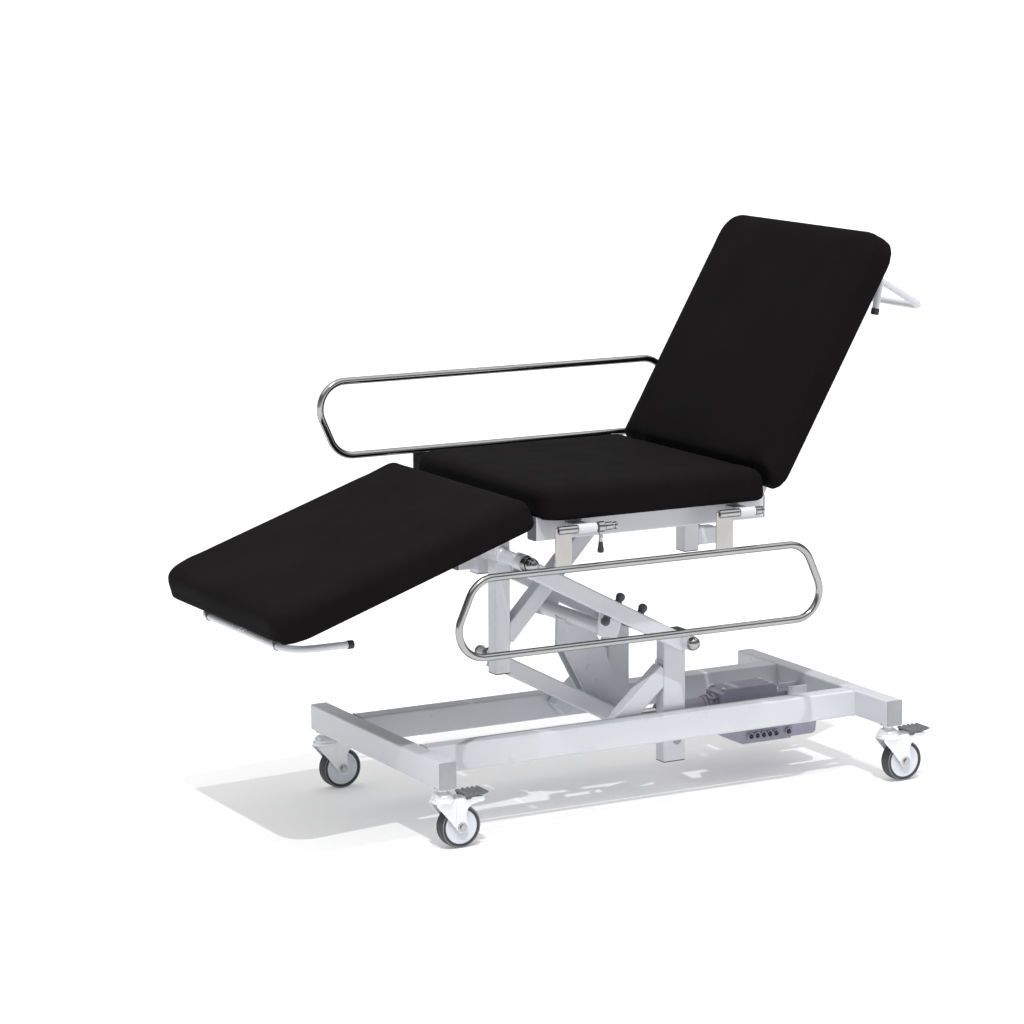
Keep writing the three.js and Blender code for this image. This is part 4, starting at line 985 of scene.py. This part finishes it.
def hand_bar(section, x, reach, turn):
    z = 693.4
    drop = abs(reach) * math.tan(math.radians(LEG_ANGLE))
    corners = [at(x + reach, -BAR_Y, z - drop), at(x, -BAR_Y, z),
               at(x, BAR_Y, z), at(x + reach, BAR_Y, z - drop)]
    plane = (corners[0] - corners[1]).cross(corners[2] - corners[1])
    bm = bmesh.new()
    sweep(bm, bend_path(corners, 60, steps=14), circle(8.4), plane)
    piece(f"{section}_bar", bm, PAINT, section, [f"{section}_hand_bar"], turn)
    bm = bmesh.new()
    for side in (-1, 1):
        middle = side * BAR_TAB_Y
        plate_y(bm, [(x - 9, 688), (x - 5, 683.4), (x + 5, 683.4), (x + 9, 688), (x + 9, FRAME_TOP - 1),
                     (x - 9, FRAME_TOP - 1)], middle - 3, middle + 3, 0.8)
    piece(f"{section}_bar_tabs", bm, DARK_PLUG, section, (), turn)
    bm = bmesh.new()
    for tip in (-24, -2):
        plate_y(bm, [(x - 10, 705), (x + 8, 705), (x - 1, 682)], tip - 1.5, tip + 1.5, 0.6)
    piece(f"{section}_bar_clips", bm, PAINT, section, (), turn)
    bm = bmesh.new()
    for side in (-1, 1):
        end = at(x + reach, side * BAR_Y, z - drop)
        inward = (at(x, side * BAR_Y, z) - end).normalized()
        lathe(bm, end - inward * 2.4 * MM, inward, [
            (0, 0), (7.4, 0), (9.2, 1.2), (9.8, 3), (9.8, 14), (9.4, 15.2), (8.5, 15.6), (8.5, 3),
            (0, 3)], 32)
    piece(f"{section}_bar_caps", bm, RUBBER, section, (), turn)


def push_bar(x):
    half, top = 214, 711.4
    low = top - 194
    corners = [at(x, -half, top), at(x, -half, low), at(x, half, low), at(x, half, top)]
    bm = bmesh.new()
    sweep(bm, bend_path(corners, 22), circle(8.4), (1, 0, 0))
    for side in (-1, 1):
        ring = [at(x + 9 * math.cos(t), side * half + 9 * math.sin(t), top - 0.6)
                for t in (2 * math.pi * k / 20 for k in range(20))]
        weld_bead(bm, ring, 1.6, closed=True)
    piece("back_push_frame", bm, PAINT, "back", ["back_push_bar"], BACK_TURN)


def build_struts():
    for section, pivot, flat, turn in (("leg", (266, 588), LEG_MEMBER_X, LEG_TURN),
                                       ("back", (914, 588), BACK_MEMBER_X, BACK_TURN)):
        strut = f"{section}_strut"
        y = STRUT_Y
        start = at(pivot[0], y, pivot[1])
        eye = turn @ at(flat, y, STRUT_EYE_Z)
        axis = (eye - start).normalized()
        length = (eye - start).length / MM
        mouth = length * 0.55
        bm = bmesh.new()
        lathe(bm, start - Vector((0, 0.008, 0)), (0, 1, 0), sleeve(0, 13, 18), 32)
        lathe(bm, start, axis, [
            (0, 4), (9, 4), (11, 8), (12, 11), (12, mouth - 10), (11, mouth - 6), (11.6, mouth - 5),
            (11.6, mouth - 2), (10.6, mouth), (5.4, mouth), (5.4, length * 0.3), (0, length * 0.3)], 36)
        piece(f"{strut}_cylinder", bm, RUBBER, strut, [f"{strut}_body"])
        bm = bmesh.new()
        round_bar(bm, start + axis * length * 0.4 * MM, eye - axis * 6 * MM, 5, 0.5, 24)
        lathe(bm, eye - Vector((0, 0.008, 0)), (0, 1, 0), sleeve(3.6, 9, 16), 28)
        lathe(bm, eye - axis * 24 * MM, axis,
              [(4.6, 0), (7, 0.5), (7, 12), (5.8, 16), (4.6, 16), (4.6, 0)], 6)
        piece(f"{strut}_piston", bm, CHROME, f"{strut}_rod", [f"{strut}_rod"])
        bm = bmesh.new()
        hex_bolt(bm, at(pivot[0], y + 10, pivot[1]), (0, 1, 0), 11, 4)
        piece(f"{strut}_bolt", bm, ZINC, strut)


# ---- guard rails ----
GUARD_X = 524


def build_guards():
    for name, side in SIDES:
        y = side * GUARD_Y

        def z(distance):
            return GUARD_Z + side * distance

        corners = [at(GUARD_X + u, y, z(h)) for u, h in ((-435, 90), (435, 90), (515, 270), (-515, 270))]
        loop = bend_path(corners, 65, closed=True, steps=14)
        bm = bmesh.new()
        sweep(bm, loop, circle(8.5, 32), (0, 1, 0), closed=True)
        piece(f"guard_loop_{name}", bm, CHROME, f"guard_{name}", [f"guard_rail_{name}"])
        bm = bmesh.new()
        for x0, x1 in ((290, 332), (716, 762)):
            far = z(90 - 7.4)
            near = z(-5)
            block(bm, (x0, y - 2.5, min(near, far)), (x1, y + 2.5, max(near, far)), 1.0, 3)
            for x in (x0 + 2, x1 - 2):
                weld_bead(bm, [at(x, y - 2.6, far - side * 1.0), at(x, y + 2.6, far - side * 1.0)], 1.2)
        piece(f"guard_arms_{name}", bm, STEEL, f"guard_{name}")
        bm = bmesh.new()
        for x0, x1 in ((297, 450), (724, 846)):
            round_bar(bm, at(x0, y, GUARD_Z), at(x1, y, GUARD_Z), 7, 1.0, 32)
            lathe(bm, at(x1 - 7, y, GUARD_Z), (1, 0, 0), [
                (6.8, 0), (8.6, 0.4), (8.8, 1), (8.8, 4.6), (8.4, 5.4), (6.8, 5.6), (6.8, 0)], 32)
        for x0, x1 in ((297, 345), (418, 436), (724, 777), (823, 838)):
            round_bar(bm, at(x0, y, GUARD_Z), at(x1, y, GUARD_Z), 9.4, 1.0, 32)
        piece(f"guard_pins_{name}", bm, CHROME, f"guard_{name}")
        build_guard_lever(name, y)


def build_guard_lever(name, y):
    bm = bmesh.new()
    lathe(bm, at(400, y, GUARD_Z), (1, 0, 0), sleeve(7.3, 12, 16, 0.6), 36)
    block(bm, (404, y - 3.5, GUARD_Z - 39), (412, y + 3.5, GUARD_Z - 9), 1.6)
    hex_bolt(bm, at(408, y - 3.6, GUARD_Z - 22), (0, -1, 0), 5, 1.8)
    piece(f"lever_clamp_{name}", bm, CHROME, f"lever_{name}", [f"guard_lever_{name}"])
    bm = bmesh.new()
    lathe(bm, at(408, y, GUARD_Z - 34), (0, 0, -1),
          [(0, 0), (4.4, 0), (5.0, 1), (5.6, 6), (7.6, 20), (7.5, 23), (6.0, 25.4), (0, 26)], 28)
    piece(f"lever_grip_{name}", bm, RUBBER, f"lever_{name}")


# ---- cushions ----
PAD_UNDER = 734.2
PAD_HEIGHT = 70.8
PAD_HALF = 339.0
PAD_LIP = 8.0
SWELL_FRAMES = 12
SWELL_CAP = 0.0042
BACK_RELIEF = ((31.0, 0.0), (44.0, 24.0), (71.0, 38.0))


def superellipse(half, corner, steps):
    """Plan outline of a pad centred on 0: (half length, half width), (radius at -X, radius at +X)."""
    hx, hy = half
    r0, r1 = corner
    return (arc_corner(hx - r1, hy - r1, r1, 0, steps) + arc_corner(r0 - hx, hy - r0, r0, math.pi / 2, steps)
            + arc_corner(r0 - hx, r0 - hy, r0, math.pi, steps)
            + arc_corner(hx - r1, r1 - hy, r1, 1.5 * math.pi, steps))


def relief_run(height):
    """How far the hinge end of the back pad is cut back at a height above its underside."""
    run = 0.0
    for (h0, r0), (h1, r1) in zip(BACK_RELIEF, BACK_RELIEF[1:]):
        if height > h0:
            run = r0 + (r1 - r0) * min(1.0, (height - h0) / (h1 - h0))
    return run


def pad_blank(x0, x1, corners, relief):
    """The foam block under the cover: a rounded slab a little smaller than the finished pad."""
    bm = bmesh.new()
    shrink = 2.0
    x_mid = (x0 + x1) / 2
    half = ((x1 - x0) / 2 - shrink, PAD_HALF - shrink)
    under = PAD_UNDER + 0.8
    top = PAD_UNDER + PAD_HEIGHT - 3.0
    big = 24.0
    levels = [(under, 2.0), (under + 2.0, 0.0), (top - big - 12, 0.0), (top - big, 0.0)]
    levels += [(top - big + big * math.sin(t), big - big * math.cos(t))
               for t in (math.pi / 2 * k / 8 for k in range(1, 9))]
    rings = []
    for z, inset in levels:
        radii = tuple(max(c - shrink - inset * 0.55, 4.0) for c in corners)
        outline = superellipse((half[0] - inset, half[1] - inset), radii, 6)
        least = x0 + shrink + relief_run(z - PAD_UNDER) if relief else x0
        rings.append([at(max(x_mid + u, least), v, z) for u, v in outline])
    add_rings(bm, rings)
    return bm


def swell(obj, cap):
    """Presses the cover outwards with cloth pressure; no point moves further than `cap` metres."""
    mesh = obj.data
    rest = [v.co.copy() for v in mesh.vertices]
    held = obj.vertex_groups.new(name="held")
    floor = (PAD_UNDER + 4.5) * MM
    held.add([v.index for v in mesh.vertices if v.co.z < floor], 1.0, "REPLACE")
    cloth = obj.modifiers.new("cloth", "CLOTH")
    cloth.settings.vertex_group_mass = "held"
    cloth.settings.use_pressure = True
    cloth.settings.uniform_pressure_force = 4.0
    cloth.settings.tension_stiffness = 30
    cloth.settings.compression_stiffness = 30
    cloth.settings.bending_stiffness = 2.0
    cloth.settings.quality = 4
    cloth.settings.effector_weights.gravity = 0.0
    cloth.collision_settings.use_collision = False
    scene = bpy.context.scene
    cloth.point_cache.frame_start = 1
    cloth.point_cache.frame_end = SWELL_FRAMES
    for step in range(1, SWELL_FRAMES + 1):
        scene.frame_set(step)
    shaped = obj.evaluated_get(bpy.context.evaluated_depsgraph_get())
    swollen = [v.co.copy() for v in shaped.data.vertices]
    obj.modifiers.remove(cloth)
    obj.vertex_groups.remove(held)
    scene.frame_set(1)
    for vertex, start, end in zip(mesh.vertices, rest, swollen):
        move = end - start
        if move.length > cap:
            move *= cap / move.length
        vertex.co = start + move
    mesh.update()


def make_pad(name, node, body, span, corners, turn, relief=False):
    bm = pad_blank(span[0], span[1], corners, relief)
    bmesh.ops.recalc_face_normals(bm, faces=bm.faces[:])
    mesh = bpy.data.meshes.new(name)
    bm.to_mesh(mesh)
    bm.free()
    obj = bpy.data.objects.new(name, mesh)
    bpy.context.scene.collection.objects.link(obj)
    remesh = obj.modifiers.new("remesh", "REMESH")
    remesh.mode = "VOXEL"
    remesh.voxel_size = 0.0095
    apply_modifiers(obj)
    swell(obj, SWELL_CAP)
    smooth = obj.modifiers.new("relax", "SMOOTH")
    smooth.factor = 0.5
    smooth.iterations = 4
    subdivide = obj.modifiers.new("fine", "SUBSURF")
    subdivide.levels = 1
    apply_modifiers(obj)
    hang_lip(obj.data)
    obj.data.transform(turn)
    obj.data.polygons.foreach_set("use_smooth", [True] * len(obj.data.polygons))
    obj.data.materials.append(VINYL)
    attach(obj, body)
    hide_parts(node)


def hang_lip(mesh):
    """The cover lies flat on its board, and its sides hang a little below the top of the frame."""
    for v in mesh.vertices:
        v.co.z = max(v.co.z, (PAD_UNDER + 0.6) * MM)
        outside = min(1.0, max(0.0, (abs(v.co.y) / MM - 290) / 6))
        low = min(1.0, max(0.0, 1 - (v.co.z / MM - PAD_UNDER) / 45))
        v.co.z -= PAD_LIP * MM * outside * low
    mesh.update()


def apply_modifiers(obj):
    graph = bpy.context.evaluated_depsgraph_get()
    final = bpy.data.meshes.new_from_object(obj.evaluated_get(graph))
    old = obj.data
    obj.modifiers.clear()
    obj.data = final
    bpy.data.meshes.remove(old)


def make_backing(name, body, span, turn):
    """Board under the pad, held by screws, where the cover is folded in."""
    bm = bmesh.new()
    x0, x1 = span[0] + 14, span[1] - 14
    outline = superellipse(((x1 - x0) / 2, 286), (10, 10), 6)
    rings = []
    for z, inset in ((PAD_UNDER - 0.1, 1.2), (PAD_UNDER + 0.8, 0.0), (PAD_UNDER + 4.0, 0.0)):
        share = 1 - inset / 300
        rings.append([at((x0 + x1) / 2 + u * share, v * share, z) for u, v in outline])
    add_rings(bm, rings)
    piece(f"{name}_board", bm, BACKING, body, (), turn)


def build_pads():
    identity = Matrix.Identity(4)
    pads = (
        ("leg_cushion", "leg_pad", "leg", (FOOT_END, 266), (70, 26), LEG_TURN, False),
        ("seat_cushion", "seat_pad", "seat", (267, 870), (58, 24), identity, False),
        ("back_cushion", "back_pad", "back", (902.4, HEAD_END), (44, 66), BACK_TURN, True),
    )
    for name, node, body, span, corners, turn, relief in pads:
        make_pad(name, node, body, span, corners, turn, relief)
        make_backing(name, body, span, turn)


# ---- studio ----
# Sky light against height, from 0 at the horizon to 1 overhead, and the suns: name, strength and
# direction.
SKY = ((0.0, 0.50), (0.16, 0.46), (0.28, 0.22), (0.52, 0.20), (0.66, 1.10), (1.0, 1.38))
SUNS = (("key", 1.6, (0.24, 0.47, -1.0)), ("top", 0.9, (0.16, 0.24, -1.0)))
SUN_SPREAD = math.radians(0.8)


def studio_sky():
    """Soft light from above, a light wall round the room, and a dim band between them."""
    world = bpy.data.worlds.new("studio")
    world.use_nodes = True
    tree = world.node_tree
    place = tree.nodes.new("ShaderNodeTexCoord")
    split = tree.nodes.new("ShaderNodeSeparateXYZ")
    ramp = tree.nodes.new("ShaderNodeValToRGB")
    scale = tree.nodes.new("ShaderNodeVectorMath")
    scale.operation = "SCALE"
    scale.inputs["Scale"].default_value = 2.0
    while len(ramp.color_ramp.elements) < len(SKY):
        ramp.color_ramp.elements.new(0.5)
    for stop, (height, level) in zip(ramp.color_ramp.elements, SKY):
        stop.position = height
        stop.color = (level / 2, level / 2, level / 2, 1.0)
    tree.links.new(place.outputs["Generated"], split.inputs["Vector"])
    tree.links.new(split.outputs["Z"], ramp.inputs["Fac"])
    tree.links.new(ramp.outputs["Color"], scale.inputs[0])
    tree.links.new(scale.outputs["Vector"], tree.nodes["Background"].inputs["Color"])
    bpy.context.scene.world = world


def build_studio():
    bm = bmesh.new()
    bmesh.ops.create_grid(bm, x_segments=8, y_segments=8, size=150.0)
    mesh = bpy.data.meshes.new("studio_floor")
    bm.to_mesh(mesh)
    bm.free()
    floor = bpy.data.objects.new("studio_floor", mesh)
    bpy.context.scene.collection.objects.link(floor)
    m = Nodes("studio_floor")
    m.colour(m.mixed(m.span(m.noise(0.8, 2), 0.0, 1.0), (0.70, 0.70, 0.70), (0.71, 0.71, 0.71)))
    m.fixed(Roughness=0.6, Specular_IOR_Level=0.15, Emission_Color=(1.0, 1.0, 1.0, 1.0),
            Emission_Strength=0.27)
    mesh.materials.append(m.material)

    studio_sky()
    for name, energy, direction in SUNS:
        sun = bpy.data.lights.new(name, "SUN")
        sun.energy = energy
        sun.angle = SUN_SPREAD
        lamp = bpy.data.objects.new(name, sun)
        lamp.rotation_euler = Vector(direction).to_track_quat("-Z", "Y").to_euler()
        bpy.context.scene.collection.objects.link(lamp)
    bpy.context.scene.view_settings.view_transform = "Standard"
    bpy.context.scene.view_settings.look = "None"


build_base()
build_base_shaft()
build_castors()
build_links()
build_lever()
build_lower_link()
build_actuator()
build_seat()
build_sections()
build_struts()
build_guards()
build_pads()
build_studio()
